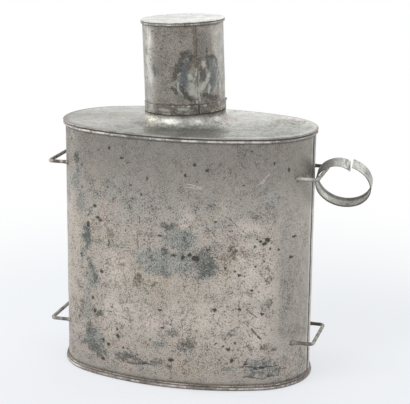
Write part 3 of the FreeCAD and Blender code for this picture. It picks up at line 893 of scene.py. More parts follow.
def wall_wear(point, z):
    """The dull and shade, bloom, rub, blue, smooth, rust and bright layers at a place on the wall."""
    spot = Vector((point.x, point.y, z))
    nudge = noise.noise_vector(spot / 0.0065) * 2.6 + noise.noise_vector(spot / 0.0021) * 1.1
    x, up = point.x / MM, z / MM
    if point.y > 0:
        x, up = -x, TURNED_OVER - up
    place = (x + nudge.x, up + nudge.z)
    facing = max(0.35, math.sqrt(max(0.0, 1 - (point.x / 0.083) ** 2)))
    dull = mark_strength(place, SMUDGES, 0.9, facing) * 0.75
    bloom = mark_strength(place, BLOOMS, 0.8, facing)
    rub = mark_strength(place, RUBS, 0.9, 1.0)
    strip = 1.25 * smooth(x, 61.0, 68.0) * smooth(z, 0.01, 0.04)
    sleek = max(
        strip,
        0.8 * smooth(up, 118, 140) * smooth(x, -66, -40),
        0.7 * smooth(up, 100, 132) * smooth(x, -10, 25),
        0.8 * smooth(-up, -11.0, -6.5) * smooth(-abs(x - 56), -40, -14),
        0.5 * smooth(-up, -9.0, -6.0),
    )
    patch = 0.0
    if point.y < 0:
        across, over = abs(place[0] - REPAIR[0]), abs(place[1] - REPAIR[1])
        patch = 0.34 * (1 - smooth(across, 8.5, 12.0)) * (1 - smooth(over, 5.0, 7.5))
    bloom = max(bloom, 1.5 * patch)
    rust = 0.58 * mark_strength(place, WALL_RUSTS, 0.9)
    streak = (0.24 - 0.18 * smooth(z, 0.105, 0.125)) * smooth(x, 63.0, 69.0)
    dull = max(dull * (1 - 0.6 * sleek), streak)
    if point.y < 0:
        dull = max(dull, 0.14 * smooth(up, 118, 135) * smooth(x, 5, 25) * smooth(-x, -64, -56))
        # Painted shade low on the front's left.
        dull = max(dull, 0.14 * smooth(-x, 40, 54) * smooth(-up, -60, -40))
    pale = 0.17 * mark_strength(place, PALES, 0.6) if point.y < 0 else 0.0
    return dull, bloom * (1 - 0.2 * sleek), rub * (1 - 0.6 * sleek), patch, sleek, rust, pale


class FLASK_OT_wall(bpy.types.Operator):
    """Builds the rolled wall with its upright seam, dents and stains"""

    bl_idname = "flask.wall"
    bl_label = "Body Wall"

    def execute(self, context):
        body = context.scene.flask_body
        columns = wall_columns(body)
        lap_quarter = Oval(body).quarter
        low = body.sheet + body.solder
        high = body.height - low
        band = body.seam_height + body.solder
        rows = 124
        levels = [low + (high - low) * i / rows for i in range(rows + 1)]
        for start, way in ((band, 1), (body.height - band, -1)):
            levels += [start + way * step * MM for step in (0.02, 0.2, 0.5, 0.9)]
        levels.sort()
        rings = []
        wear = {key: [] for key in ("dull", "bloom", "rub", "blue", "sleek", "rust", "grime", "bright")}
        for z in levels:
            inside_bands = smooth(z, band, band + 0.8 * MM) * smooth(body.height - z, band, band + 0.8 * MM)
            # Dirt and painted shade along the wall next to each band.
            near_band = max(
                1 - smooth(z - band, 0.0, 1.3 * MM), 1 - smooth(body.height - band - z, 0.0, 1.0 * MM)
            )
            ring, made = [], []
            for point, out, along, rise in columns:
                shift = wall_shift(point, z, body) + rise * inside_bands
                ring.append(point + out * shift + UP * z)
                gap = (along + 0.01) % (4 * lap_quarter) - 0.01
                # Painted highlight on the upright seam's raised faces, and dirt with painted shade in its
                # grooves.
                groove = 1.0 if -0.0031 < gap < -0.0021 or 0.0021 < gap < 0.0031 else 0.0
                face = 0.45 if -0.0021 <= gap <= 0.0021 or -0.0056 < gap < -0.0036 else 0.0
                *layers, pale = wall_wear(point, z)
                dirt_and_shade = max(groove * inside_bands, 0.55 * near_band)
                made.append((*layers, dirt_and_shade, max(pale, face * inside_bands)))
            rings.append(ring)
            for key, values in zip(wear, zip(*made)):
                wear[key].append(values)
        for z in [levels[-1], *levels[-4:3:-5], levels[0]]:
            ring = []
            for point, out, along, rise in columns:
                ring.append(point + out * (wall_shift(point, z, body) - body.sheet) + UP * z)
            rings.append(ring)
            for rows_of in wear.values():
                rows_of.append([0.0] * len(ring))
        piece = skin("wall", rings, wear)
        finished(piece, "flask", "body_tin", tin_for("body_tin"), "body_wall")
        return {"FINISHED"}


def seam_rings(section, columns, body, level, way, seed):
    """Rings of a pressed seam, with its scuffs and grime, wandering a little on its way round."""
    rings, scuffs, grime_and_shade_rows = [], [], []
    for offset, depth, wear in section:
        ring, scuff, grime = [], [], []
        tarnish = 0.45 if offset > 0.9 else 0.0
        for point, out, along in columns:
            free = smooth(offset, 0.2, 1.2)
            drift = body.seam_wander * free
            sway = drift * rough((point.x, point.y, depth * 0.0006), 0.011, seed) - 0.5 * drift
            drop = drift * 0.8 * rough((point.x, point.y, 0.0), 0.008, seed + 5) * smooth(depth, 0.3, 1.2)
            drop *= smooth(3.6 - depth, 0.0, 0.6)
            patchy = 0.45 + 0.9 * rough((point.x, point.y, depth * 0.0012), 0.009, seed + 9)
            patchy += 0.5 * rough((point.x, point.y, 0.0), 0.028, seed + 2)
            patchy += 0.4 * rough((point.x, point.y, depth * 0.001), 0.003, seed)
            worn = max(0.0, min(1.0, patchy)) * (0.15 + 0.85 * smooth(-point.y, 0.012, 0.03))
            ring.append(point + out * (offset * MM + sway) + UP * (level + way * (depth * MM + drop)))
            scuff.append(max(0.0, wear) * worn)
            grime.append(max(tarnish * (1.1 - worn), 0.12 if offset > 0.9 else 0.0, -wear))
        rings.append(ring)
        scuffs.append(scuff)
        grime_and_shade_rows.append(grime)
    return rings, scuffs, grime_and_shade_rows


def throat_rings(body, cup, columns, sheet_side):
    """Rings from the throat's lip down its hollow curve to the foot circle.

    The sheet side is 0 for the outside and the sheet's thickness for the inside.
    """
    foot_radius = body.throat_bore + body.sheet + body.flare_radius
    curve = body.flare_radius + sheet_side
    level = body.height + body.flare_radius
    slope = math.tan(body.lean)
    steps = 10
    rings = []
    for step in range(steps + 1):
        ring = []
        for point, out, along in columns:
            way = Vector((point.x - body.neck_x, point.y, 0)).normalized()
            lip_x = way.x * (body.throat_bore + body.sheet)
            cut = cup.seat + slope * lip_x - cup.rest_gap
            last = math.acos(min(1.0, max(0.0, (level - cut) / curve)))
            turn = last * (1 - step / steps)
            radius = foot_radius - curve * math.sin(turn)
            z = level - curve * math.cos(turn)
            if step == 0:
                z = max(z, cut)
            ring.append(Vector((body.neck_x, 0, 0)) + way * radius + UP * z)
        rings.append(ring)
    return rings


class FLASK_OT_shoulder(bpy.types.Operator):
    """Builds the shoulder plate, drawn up into the throat and seamed to the wall"""

    bl_idname = "flask.shoulder"
    bl_label = "Shoulder"

    def execute(self, context):
        scene = context.scene
        body, cup = scene.flask_body, scene.flask_cup
        columns = Oval(body).columns(COLUMN_STEP)
        outer = throat_rings(body, cup, columns, 0.0)
        foot = outer[-1]
        plain = [[0.0] * len(columns)]
        rings = list(outer)
        scuffs = plain * len(rings)
        rusts = plain * len(rings)
        grime_and_shade_rows, dull_and_shade_rows, brights = [], [], []
        for i, ring in enumerate(rings):
            grime, dull, bright = [], [], []
            for spot in ring:
                turn = math.degrees(math.atan2(spot.y, spot.x - body.neck_x))
                # Painted shadow under the cup's hem at the lip, with real brown specks below it.
                at_lip = 1 - smooth(i, 0.4, 1.5 + 0.5 * rough(spot, 0.006, 33.0))
                grime.append(max(at_lip, 0.3 * smooth(rough(spot, 0.0018, 6.0), 0.0, 0.5)))
                # Painted shade: the flare's front half darker, as a dark reflection.
                dull.append((0.22 + 0.34 * smooth(i, 3, 7)) * smooth(-spot.y, -0.012, 0.02))
                # Painted highlights: two glints on the flare's front, mottled.
                highlight_spots = max(math.exp(-(((turn + 92) / 12) ** 2)), 0.65 * math.exp(-(((turn + 60) / 6) ** 2)))
                edge_light = 0.8 * highlight_spots * math.exp(-(((i - 2.6) / 1.4) ** 2))
                bright.append(edge_light * (0.8 + 0.5 * rough(spot, 0.0018, 16.0)))
            grime_and_shade_rows.append(grime)
            dull_and_shade_rows.append(dull)
            brights.append(bright)
        stain_x, stain_y, stain_size = PLATE_STAIN
        for part in (0.05, 0.12, 0.22, 0.34, 0.46, 0.58, 0.7, 0.8, 0.88, 0.95):
            ring, rust, dull, bright = [], [], [], []
            for start, (point, out, along) in zip(foot, columns):
                place = blend(start, point - out * 0.9 * MM + UP * body.height, part)
                bow = 0.35 * MM * smooth(part, 0.0, 0.4) * smooth(1 - part, 0.0, 0.4)
                place.z = body.height + bow * (rough(place, 0.03, 12.0) - 0.9)
                ring.append(place)
                stain = Vector(((place.x - stain_x) / stain_size, (place.y - stain_y) / stain_size))
                rust.append(0.75 * (1 - smooth(stain.length + 0.5 * rough(place, 0.006, 2.0), 0.45, 1.15)))
                # Painted reflection: the plate's front half made darker, as if mirroring the dark cup, and its
                # back half paler, as if mirroring the pale surroundings.
                cloud = 0.09 * rough(place, 0.014, 5.0) + 0.06 * rough(place, 0.006, 25.0)
                darker = 0.58 + 0.16 * smooth(place.x, 0.01, 0.045)
                dull.append(darker * smooth(-place.y + place.x * 0.4, -0.010, 0.028) + cloud)
                lit = (0.29 + 0.1 * smooth(-place.x, 0.0, 0.05)) * smooth(place.y, 0.0, 0.026)
                bright.append(max(0.0, lit * (1 - smooth(rust[-1], 0.0, 0.3)) + cloud))
            rings.append(ring)
            rusts.append(rust)
            dull_and_shade_rows.append(dull)
            brights.append(bright)
        scuffs += plain * (len(rings) - len(scuffs))
        grime_and_shade_rows += plain * (len(rings) - len(grime_and_shade_rows))
        seam, seam_scuffs, seam_grime_and_shade = seam_rings(SHOULDER_SEAM, columns, body, body.height, -1, 1.0)
        rings += seam
        kept = [1 - 0.85 * smooth(-point.x, 0.052, 0.066) for point, out, along in columns]
        scuffs += [[value * k for value, k in zip(row, kept)] for row in seam_scuffs]
        grime_and_shade_rows += [[max(value, 0.35 - 0.35 * k) for value, k in zip(row, kept)] for row in seam_grime_and_shade]
        under = [(0.05, 0.56), (-2.2, 0.56)]
        rings += [[p + out * o * MM + UP * (body.height - d * MM) for p, out, a in columns] for o, d in under]
        inner = throat_rings(body, cup, columns, body.sheet)
        rings += inner[::-1]
        missing = len(rings) - len(scuffs)
        scuffs += plain * missing
        grime_and_shade_rows += plain * missing
        for rows in (rusts, dull_and_shade_rows, brights):
            rows += plain * (len(rings) - len(rows))
        wear = {"scuff": scuffs, "grime": grime_and_shade_rows, "rust": rusts, "dull": dull_and_shade_rows, "bright": brights}
        piece = skin("shoulder", rings, wear)
        finished(piece, "flask", "shoulder_tin", tin_for("shoulder_tin"), "shoulder_plate")
        return {"FINISHED"}


class FLASK_OT_base(bpy.types.Operator):
    """Builds the base plate and its pressed seam"""

    bl_idname = "flask.base"
    bl_label = "Base"

    def execute(self, context):
        body = context.scene.flask_body
        columns = Oval(body).columns(COLUMN_STEP)
        rings, scuffs, grime_and_shade_rows = seam_rings(BASE_SEAM, columns, body, 0.0, 1, 4.0)
        plain = [[0.0] * len(columns)]
        for offset, depth in ((0.05, 0.56), (-2.2, 0.56)):
            rings.append([p + out * offset * MM + UP * depth * MM for p, out, a in columns])
        rings.append([p * 0.05 + UP * 0.62 * MM for p, out, a in columns])
        scuffs += plain * 3
        grime_and_shade_rows += plain * 3
        underside = []
        for part in (0.05, 0.3, 0.6, 0.85, 0.96):
            bow = 0.3 * MM * smooth(1 - part, 0.0, 0.4)
            underside.append([p * part + UP * bow for p, out, a in columns])
        rings = underside + rings
        scuffs = plain * 5 + scuffs
        grime_and_shade_rows = [[0.5] * len(columns)] * 5 + grime_and_shade_rows
        piece = skin("base", rings, {"scuff": scuffs, "grime": grime_and_shade_rows}, False, True, True)
        finished(piece, "flask", "body_tin", tin_for("body_tin"), "base_plate")
        return {"FINISHED"}


def on_axis(body, cup, turn, radius, height):
    """A point in the leaning cup's own frame, moved to where the cup stands."""
    x, y, z = radius * math.cos(turn), radius * math.sin(turn), height
    lean = body.lean
    return Vector((
        body.neck_x + x * math.cos(lean) - z * math.sin(lean),
        y,
        cup.seat + x * math.sin(lean) + z * math.cos(lean),
    ))


def lathe(name, section, scene, count=160, wear=None, close=True):
    """Turns an outline of (radius, height) about the cup's axis."""
    body, cup = scene.flask_body, scene.flask_cup
    turns = [2 * math.pi * i / count for i in range(count)]
    rings = [[on_axis(body, cup, turn, radius, height) for turn in turns] for radius, height in section]
    rows = {key: [[value] * count for value in values] for key, values in (wear or {}).items()}
    return skin(name, rings, rows, close, not close, not close)


class FLASK_OT_neck(bpy.types.Operator):
    """Builds the neck, a plain tube with a softened mouth"""

    bl_idname = "flask.neck"
    bl_label = "Neck"

    def execute(self, context):
        scene = context.scene
        cup = scene.flask_cup
        r, t = cup.neck_radius, scene.flask_body.sheet
        low, high = cup.neck_low, cup.neck_high
        steps = [low + 0.25 * MM + (high - low - 0.5 * MM) * i / 12 for i in range(13)]
        section = [(r - t, low + 0.1 * MM), (r - 0.4 * t, low), (r - 0.1 * t, low + 0.08 * MM)]
        section += [(r, z) for z in steps]
        section += [(r - 0.1 * t, high - 0.1 * MM), (r - 0.5 * t, high), (r - 0.9 * t, high - 0.1 * MM)]
        section += [(r - t, z) for z in steps[::-1]]
        grime = [0.3 if height > high - 0.5 * MM else 0.0 for radius, height in section]
        piece = lathe("neck", section, scene, 180, {"grime": grime})
        finished(piece, "flask", "body_tin", tin_for("body_tin"), "neck_tube")
        return {"FINISHED"}


class FLASK_OT_cork(bpy.types.Operator):
    """Builds the cork, cut by hand and a little uneven"""

    bl_idname = "flask.cork"
    bl_label = "Cork"

    def execute(self, context):
        scene = context.scene
        body, cup = scene.flask_body, scene.flask_cup
        r, low, high = cup.cork_radius, cup.cork_low, cup.cork_high
        section = [(r * part, low) for part in (0.1, 0.4, 0.7, 0.9)]
        section += [
            (r - 0.9 * MM, low + 0.02 * MM), (r - 0.35 * MM, low + 0.3 * MM), (r - 0.08 * MM, low + 0.9 * MM),
        ]
        steps = 14
        section += [(r, low + 1.2 * MM + (high - low - 2.4 * MM) * i / steps) for i in range(steps + 1)]
        section += [
            (r - 0.1 * MM, high - 0.9 * MM), (r - 0.45 * MM, high - 0.3 * MM), (r - 1.1 * MM, high - 0.02 * MM),
        ]
        section += [(r * part, high) for part in (0.9, 0.7, 0.4, 0.1)]
        count = 144
        rings = []
        for radius, height in section:
            ring = []
            for i in range(count):
                turn = 2 * math.pi * i / count
                spot = (radius * math.cos(turn), radius * math.sin(turn), height)
                bite = 0.1 * MM * (rough(spot, 0.004, 4.0) - 1)
                bite += 0.12 * MM * min(0.0, rough(spot, 0.0015, 8.0))
                sink = 0.12 * MM * (rough(spot, 0.006, 6.0) - 1) * smooth(height, 0.5 * high, high)
                ring.append(on_axis(body, cup, turn, max(0.001, radius + bite), height + sink))
            rings.append(ring)
        piece = skin("cork", rings, None, False, True, True)
        finished(piece, "cork", "cork", tin_for("cork"), "cork_stopper")
        return {"FINISHED"}


def cup_turns(cup):
    """Angles of the cup's columns, close together at the lap seam, with each one's lap part."""
    near = [-3.0, -2.2, -1.5, -0.9, -0.5, -0.2, -0.05, 0.05, 0.25, 0.6, 1.0, 1.5, 1.85, 2.0, 2.6, 3.4]
    fine = [cup.lap + math.radians(gap) for gap in near]
    count = 226
    start, end = cup.lap + math.radians(4.6), cup.lap + math.radians(356.0)
    turns = fine + [start + (end - start) * i / count for i in range(count + 1)]
    return turns


def lap_rise(cup, turn):
    """How far the outer sheet stands off the cup's wall at an angle."""
    back = (cup.lap - turn) % (2 * math.pi)
    if back > cup.lap_spread:
        return 0.0
    return cup.sheet * 0.95 * (1 - smooth(back, 0.0, cup.lap_spread)) ** 0.7


def cup_wear(cup, turn, height):
    """Burn, blue, rust and solder on the cup round the lap seam."""
    spot = Vector((cup.radius * math.cos(turn), cup.radius * math.sin(turn), height))
    nudge = noise.noise_vector(spot / 0.0042) * 0.8 + noise.noise_vector(spot / 0.0014) * 0.5
    degrees = (math.degrees(turn) + 180) % 360 - 180
    place = (degrees + nudge.x * 2.2, height / MM + nudge.z)
    burn, blue, smear, rust = (
        stroke_strength(place, strokes, cup.radius)
        for strokes in (CUP_BURNS, CUP_BLUES, CUP_SMEARS, CUP_RUSTS)
    )
    return burn, blue * (1 - 0.7 * burn), rust * (1 - 0.6 * smear), smear


def painted_edge_highlights(turn, spot):
    """Two painted highlight strips down the cup's wall, towards its left and its right."""
    degrees = (math.degrees(turn) + 180) % 360 - 180
    left = smooth(-degrees, 112, 130) if degrees < 0 else smooth(degrees, 150, 175)
    right = smooth(degrees, -26, -8) * (1 - smooth(degrees, 60, 90))
    return (0.36 * left + 0.42 * right) * (0.75 + 0.5 * rough(spot, 0.006, 51.0))


def cup_dull(turn, height):
    """Darker tin round the solder stains and in a strip beside them."""
    degrees = (math.degrees(turn) + 180) % 360 - 180
    around = max(
        0.5 * math.exp(-(((degrees + 74) / 15) ** 2) - ((height / MM - 22) / 15) ** 2),
        0.35 * math.exp(-(((degrees + 30) / 12) ** 2) - ((height / MM - 20) / 13) ** 2),
    )
    return max(around, 0.3 * math.exp(-(((degrees + 100) / 12) ** 2)))


class FLASK_OT_cup_wall(bpy.types.Operator):
    """Builds the cup's wall with its hem, lap seam and solder stains"""

    bl_idname = "flask.cup_wall"
    bl_label = "Cup Wall"

    def execute(self, context):
        scene = context.scene
        body, cup = scene.flask_body, scene.flask_cup
        r, t, hem = cup.radius, cup.sheet, cup.hem
        top = cup.height - t - body.solder
        # Below zero, the last value is grime and painted shade: along the hem's lower edge and in the step over
        # its top.
        section = [
            (r - t, 0.5 * MM, -0.3), (r - 0.85 * t, 0.12 * MM, -0.5), (r - 0.3 * t, 0.0, -0.7),
            (r + 0.4 * t, 0.02 * MM, -0.9),
        ]
        section += [(r + 0.88 * t, 0.16 * MM, -0.6), (r + t, 0.45 * MM, 0.3)]
        section += [(r + t, 0.45 * MM + (hem - 0.8 * MM) * i / 7, 0.12) for i in range(1, 8)]
        section += [
            (r + 0.96 * t, hem - 0.12 * MM, 0.5), (r + 0.72 * t, hem, 0.4),
            (r + 0.3 * t, hem - 0.03 * MM, -0.8), (r + 0.03 * t, hem - 0.12 * MM, -1.0),
            (r, hem + 0.06 * MM, -0.95), (r, hem + 0.3 * MM, -0.5),
        ]
        steps = 66
        section += [(r, hem + 0.3 * MM + (top - hem - 0.3 * MM) * (i + 1) / steps, 0.0) for i in range(steps)]
        inside = [(r - t, top, 0.0)] + [(r - t, top + (0.5 * MM - top) * i / 16, 0.0) for i in range(1, 16)]
        turns = cup_turns(cup)
        edge = cup.height - 2.6 * MM
        rings = []
        wear = {key: [] for key in ("burn", "blue", "rust", "solder", "scuff", "grime", "dull", "bright")}
        for radius, height, worn in section + inside:
            outer = radius > r - 0.2 * t
            in_hem = hem + 0.01 * MM > height and radius > r + 0.2 * t
            ring, made = [], []
            for turn in turns:
                past = math.degrees(turn - cup.lap)
                spot = (r * math.cos(turn), r * math.sin(turn), height)
                free = smooth(height, 0.0, 12 * MM) * smooth(edge - height, 0.0, 6 * MM)
                shift = cup.wave * rough(spot, 0.013, 21.0) * free
                here = radius
                if outer and height > hem + 0.05 * MM:
                    between = smooth(height, hem, hem + 0.4 * MM) * smooth(edge + 0.5 * MM - height, 0.0, MM)
                    here += lap_rise(cup, turn) * between
                slot_open = in_hem and 0.0 < past < math.degrees(cup.hem_gap)
                if slot_open:
                    here = r + 0.02 * t
                if in_hem:
                    lift = max(0.0, 1 - abs(math.degrees(turn) - 14.5) / 7.0) * smooth(height, 3.2 * MM, hem)
                    here += cup.sprung_lip * lift
                ring.append(on_axis(body, cup, turn, here + shift, height))
                # The hem's open gap and a line under the end's band are painted shade; the lap seam's edge is
                # dirt.
                seam_dirt = 0.9 if 0.0 < past < 0.7 and hem < height < edge and outer else 0.0
                dirt_and_shade = max(0.0, -worn, 1.0 if slot_open else 0.0, seam_dirt)
                near_end = 0.5 * (1 - smooth(edge - height, 0.0, 1.2 * MM)) if outer else 0.0
                patchy = 0.5 + 0.5 * rough(spot, 0.009, 31.0)
                stains = cup_wear(cup, turn, height) if outer else (0.0, 0.0, 0.0, 0.0)
                over_hem = 1 - smooth(abs(height - hem - 0.4 * MM), 0.2 * MM, 1.3 * MM)
                brown = 0.75 * over_hem * patchy if outer else 0.0
                if in_hem:
                    flecked = smooth(rough(spot, 0.0024, 44.0), -0.4, 0.3)
                    brown = max(brown, (0.5 + 0.3 * smooth(spot[0], 0.008, 0.014)) * flecked)
                dulled = max(0.5 if in_hem else 0.0, cup_dull(turn, height) if outer else 0.0)
                # The last value is painted highlight down the cup's sides, with pale solder.
                made.append((
                    stains[0], stains[1], max(stains[2], brown), stains[3],
                    max(0.0, worn) * patchy, max(dirt_and_shade, near_end), dulled,
                    max(painted_edge_highlights(turn, spot) * (1 - brown), 0.10 * stains[3]) if outer else 0.0,
                ))
            rings.append(ring)
            for key, values in zip(wear, zip(*made)):
                wear[key].append(values)
        piece = skin("cup_side", rings, wear)
        finished(piece, "cup", "cup_tin", tin_for("cup_tin"), "cup_wall")
        return {"FINISHED"}


class FLASK_OT_cup_end(bpy.types.Operator):
    """Builds the cup's closed end and its pressed seam"""

    bl_idname = "flask.cup_end"
    bl_label = "Cup End"

    def execute(self, context):
        scene = context.scene
        body, cup = scene.flask_body, scene.flask_cup
        r, t, top = cup.radius, cup.sheet, cup.height
        count = 200
        section = [(r * part, 0.09, 0.0) for part in (0.04, 0.25, 0.5, 0.72, 0.88)]
        section = [(radius, top - depth * MM, worn) for radius, depth, worn in section]
        section += [(r + offset * MM, top - depth * MM, worn) for offset, depth, worn in CUP_SEAM]
        section += [(r + 0.05 * MM, top - t - 0.01 * MM, 0.0)]
        section += [(r * part, top - t - 0.01 * MM, 0.0) for part in (0.9, 0.6, 0.3, 0.04)]
        rings, scuffs, grime_and_shade_rows = [], [], []
        for radius, height, worn in section:
            ring, scuff, grime = [], [], []
            for i in range(count):
                turn = 2 * math.pi * i / count
                spot = (math.cos(turn) * r, math.sin(turn) * r, 0.0)
                sway = 0.09 * MM * (rough(spot, 0.006, 15.0) - 0.6) * smooth(radius - r, 0.2 * MM, 0.9 * MM)
                ring.append(on_axis(body, cup, turn, radius + sway, height))
                scuff.append(max(0.0, worn) * (0.55 + 0.45 * rough(spot, 0.011, 17.0)))
                grime.append(max(0.0, -worn))
            rings.append(ring)
            scuffs.append(scuff)
            grime_and_shade_rows.append(grime)
        # Painted reflection: the whole top face of the closed end made pale.
        bright = [[1.0 if height > top - 0.2 * MM else 0.0] * count for radius, height, worn in section]
        wear = {"scuff": scuffs, "grime": grime_and_shade_rows, "bright": bright}
        piece = skin("cup_top", rings, wear, False, True, True)
        finished(piece, "cup", "cup_tin", tin_for("cup_tin"), "cup_end")
        return {"FINISHED"}


def tube(name, path, radii, wear, sides=16):
    """A round wire along a path, thicker where its radii say, closed at both ends."""
    rings, under = [], []
    side = UP
    for i, point in enumerate(path):
        ahead = path[min(i + 1, len(path) - 1)] - path[max(i - 1, 0)]
        ahead.normalize()
        side = (side - ahead * side.dot(ahead)).normalized()
        over = ahead.cross(side)
        ring, low = [], []
        for k in range(sides):
            turn = 2 * math.pi * k / sides
            way = side * math.cos(turn) + over * math.sin(turn)
            lump = 1 + 0.04 * rough(point + way * radii[i], 0.0016, 2.0)
            ring.append(point + way * radii[i] * lump)
            low.append(smooth(-way.z, 0.2, 0.9))
        rings.append(ring)
        under.append(low)
    rows = {key: [[value] * sides for value in values] for key, values in wear.items()}
    # Painted shade along each wire's underside, where its painted highlight is taken away.
    for row, low in zip(rows["grime"], under):
        row[:] = [max(value, 0.7 * part) for value, part in zip(row, low)]
    for row, low in zip(rows["bright"], under):
        row[:] = [value * (1 - part) for value, part in zip(row, low)]
    return skin(name, rings, rows, False, True, True)


def bent_path(corners, bend, step):
    """Points along straight runs joined by arcs of the bend's radius, at even steps."""
    runs = []
    points = [corners[0]]
    for before, corner, after in zip(corners, corners[1:], corners[2:]):
        back, on = (before - corner).normalized(), (after - corner).normalized()
        start, end = corner + back * bend, corner + on * bend
        middle = corner + (back + on) * bend
        points.append(start)
        for k in range(1, 8):
            turn = math.pi / 2 * k / 8
            points.append(middle - on * bend * math.cos(turn) - back * bend * math.sin(turn))
        points.append(end)
    points.append(corners[-1])
    for first, second in zip(points, points[1:]):
        pieces = max(1, round((second - first).length / step))
        runs += [blend(first, second, k / pieces) for k in range(pieces)]
    return runs + [points[-1]]


def solder_foot(name, body, spread, side, level):
    """A thin uneven pad of solder round a leg's foot, lying on the wall."""
    outline = Oval(body)
    along = body.end_radius * math.asin(spread / body.end_radius) + (0 if side > 0 else 2 * outline.quarter)
    count = 36
    seed = level * 50 + spread * 90 + side
    rings, solder, rust, grime = [], [], [], []
    for part, rise in ((1.0, -0.25), (0.95, 0.03), (0.85, 0.1), (0.65, 0.22), (0.4, 0.45), (0.18, 0.6)):
        ring, soldered, rusted, dirty_and_shaded = [], [], [], []
        for i in range(count):
            turn = 2 * math.pi * i / count
            reach = 1 + 0.28 * rough((math.cos(turn), math.sin(turn), 0.0), 0.6, seed)
            across = 2.9 * MM * math.cos(turn) * part * reach
            up = 1.8 * MM * math.sin(turn) * part * reach - 0.3 * MM * part
            point, out = outline.at(along + across)
            lump = rise * MM * (1 + 0.35 * rough((across, up, level), 0.0012, 3.0))
            ring.append(point + out * lump + UP * (level + up))
            patch = rough((across, up, level), 0.0014, spread * 70)
            soldered.append(0.75 * smooth(patch, -0.3, 0.3))
            rusted.append(0.8 * smooth(-patch, -0.1, 0.4))
            # Dirt at the pad's rim and painted shade under its lower half.
            dirty_and_shaded.append(0.3 if part > 0.9 else 0.35 * smooth(-up / MM, 0.3, 2.0))
        rings.append(ring)
        solder.append(soldered)
        rust.append(rusted)
        grime.append(dirty_and_shaded)
    return skin(name, rings, {"solder": solder, "rust": rust, "grime": grime}, False, True, True)


class FLASK_OT_strap_loops(bpy.types.Operator):
    """Bends the four wire loops and swells their feet with solder"""

    bl_idname = "flask.strap_loops"
    bl_label = "Strap Loops"

    def execute(self, context):
        scene = context.scene
        body, wire = scene.flask_body, scene.flask_wire
        end_x = body.half_length - body.end_radius
        for name, level, side in (
            ("upper_loop_right", wire.upper, 1), ("upper_loop_left", wire.upper, -1),
            ("lower_loop_right", wire.lower, 1), ("lower_loop_left", wire.lower, -1),
        ):
            corners = []
            for y in (wire.near_y, wire.far_y):
                wall_x = end_x + math.sqrt(body.end_radius**2 - y**2)
                corners.append(Vector((side * (wall_x - 0.5 * MM), y, level)))
            near, far = corners
            bar = [Vector((side * wire.bar_x, y, level)) for y in (wire.near_y, wire.far_y)]
            path = bent_path([near, *bar, far], wire.bend, 0.8 * MM)
            radii, solder, rust, grime, bright = [], [], [], [], []
            for point in path:
                foot = min((point - near).length, (point - far).length)
                heavy = 0.45 if point.y < 0 else 1.0
                swell = wire.solder_swell * heavy * math.exp(-((foot / (1.9 * MM)) ** 2))
                radii.append(0.5 * wire.wire - 0.04 * MM + swell)
                patch = rough(point, 0.004, level * 40 + side)
                leg = smooth(-point.y, 0.015, 0.0195)
                bar = smooth(abs(point.x), wire.bar_x - 0.003, wire.bar_x)
                pale_bar = 0.35 if name == "upper_loop_left" else 0.75
                tinned = max(math.exp(-((foot / (2.6 * MM)) ** 2)), bar * pale_bar * smooth(patch, -0.9, 0.1))
                flaked = smooth(rough(point, 0.0028, level * 90 + side), -0.35, 0.3)
                tinned = max(tinned, leg * max(flaked, 0.85 if name == "upper_loop_right" else 0.3))
                solder.append(tinned)
                rust.append((0.75 if point.y > 0 else 0.45) * (1 - tinned) * smooth(patch, -0.5, 0.4))
                grime.append(0.55 * (1 - tinned) * (1 - bar))
                # Pale tin and a painted highlight along the front legs.
                bright.append((0.5 if name == "upper_loop_right" else 0.12) * leg * flaked)
            wear = {"solder": solder, "rust": rust, "grime": grime, "bright": bright}
            piece = tube(name.replace("loop", "wire"), path, radii, wear)
            finished(piece, "flask", "wire", tin_for("wire"), name)
            for place, leg in ((near, "front"), (far, "back")):
                patch = solder_foot(name.replace("loop", leg) + "_solder", body, place.y * side, side, level)
                finished(patch, "flask", "wire", tin_for("wire"))
        return {"FINISHED"}


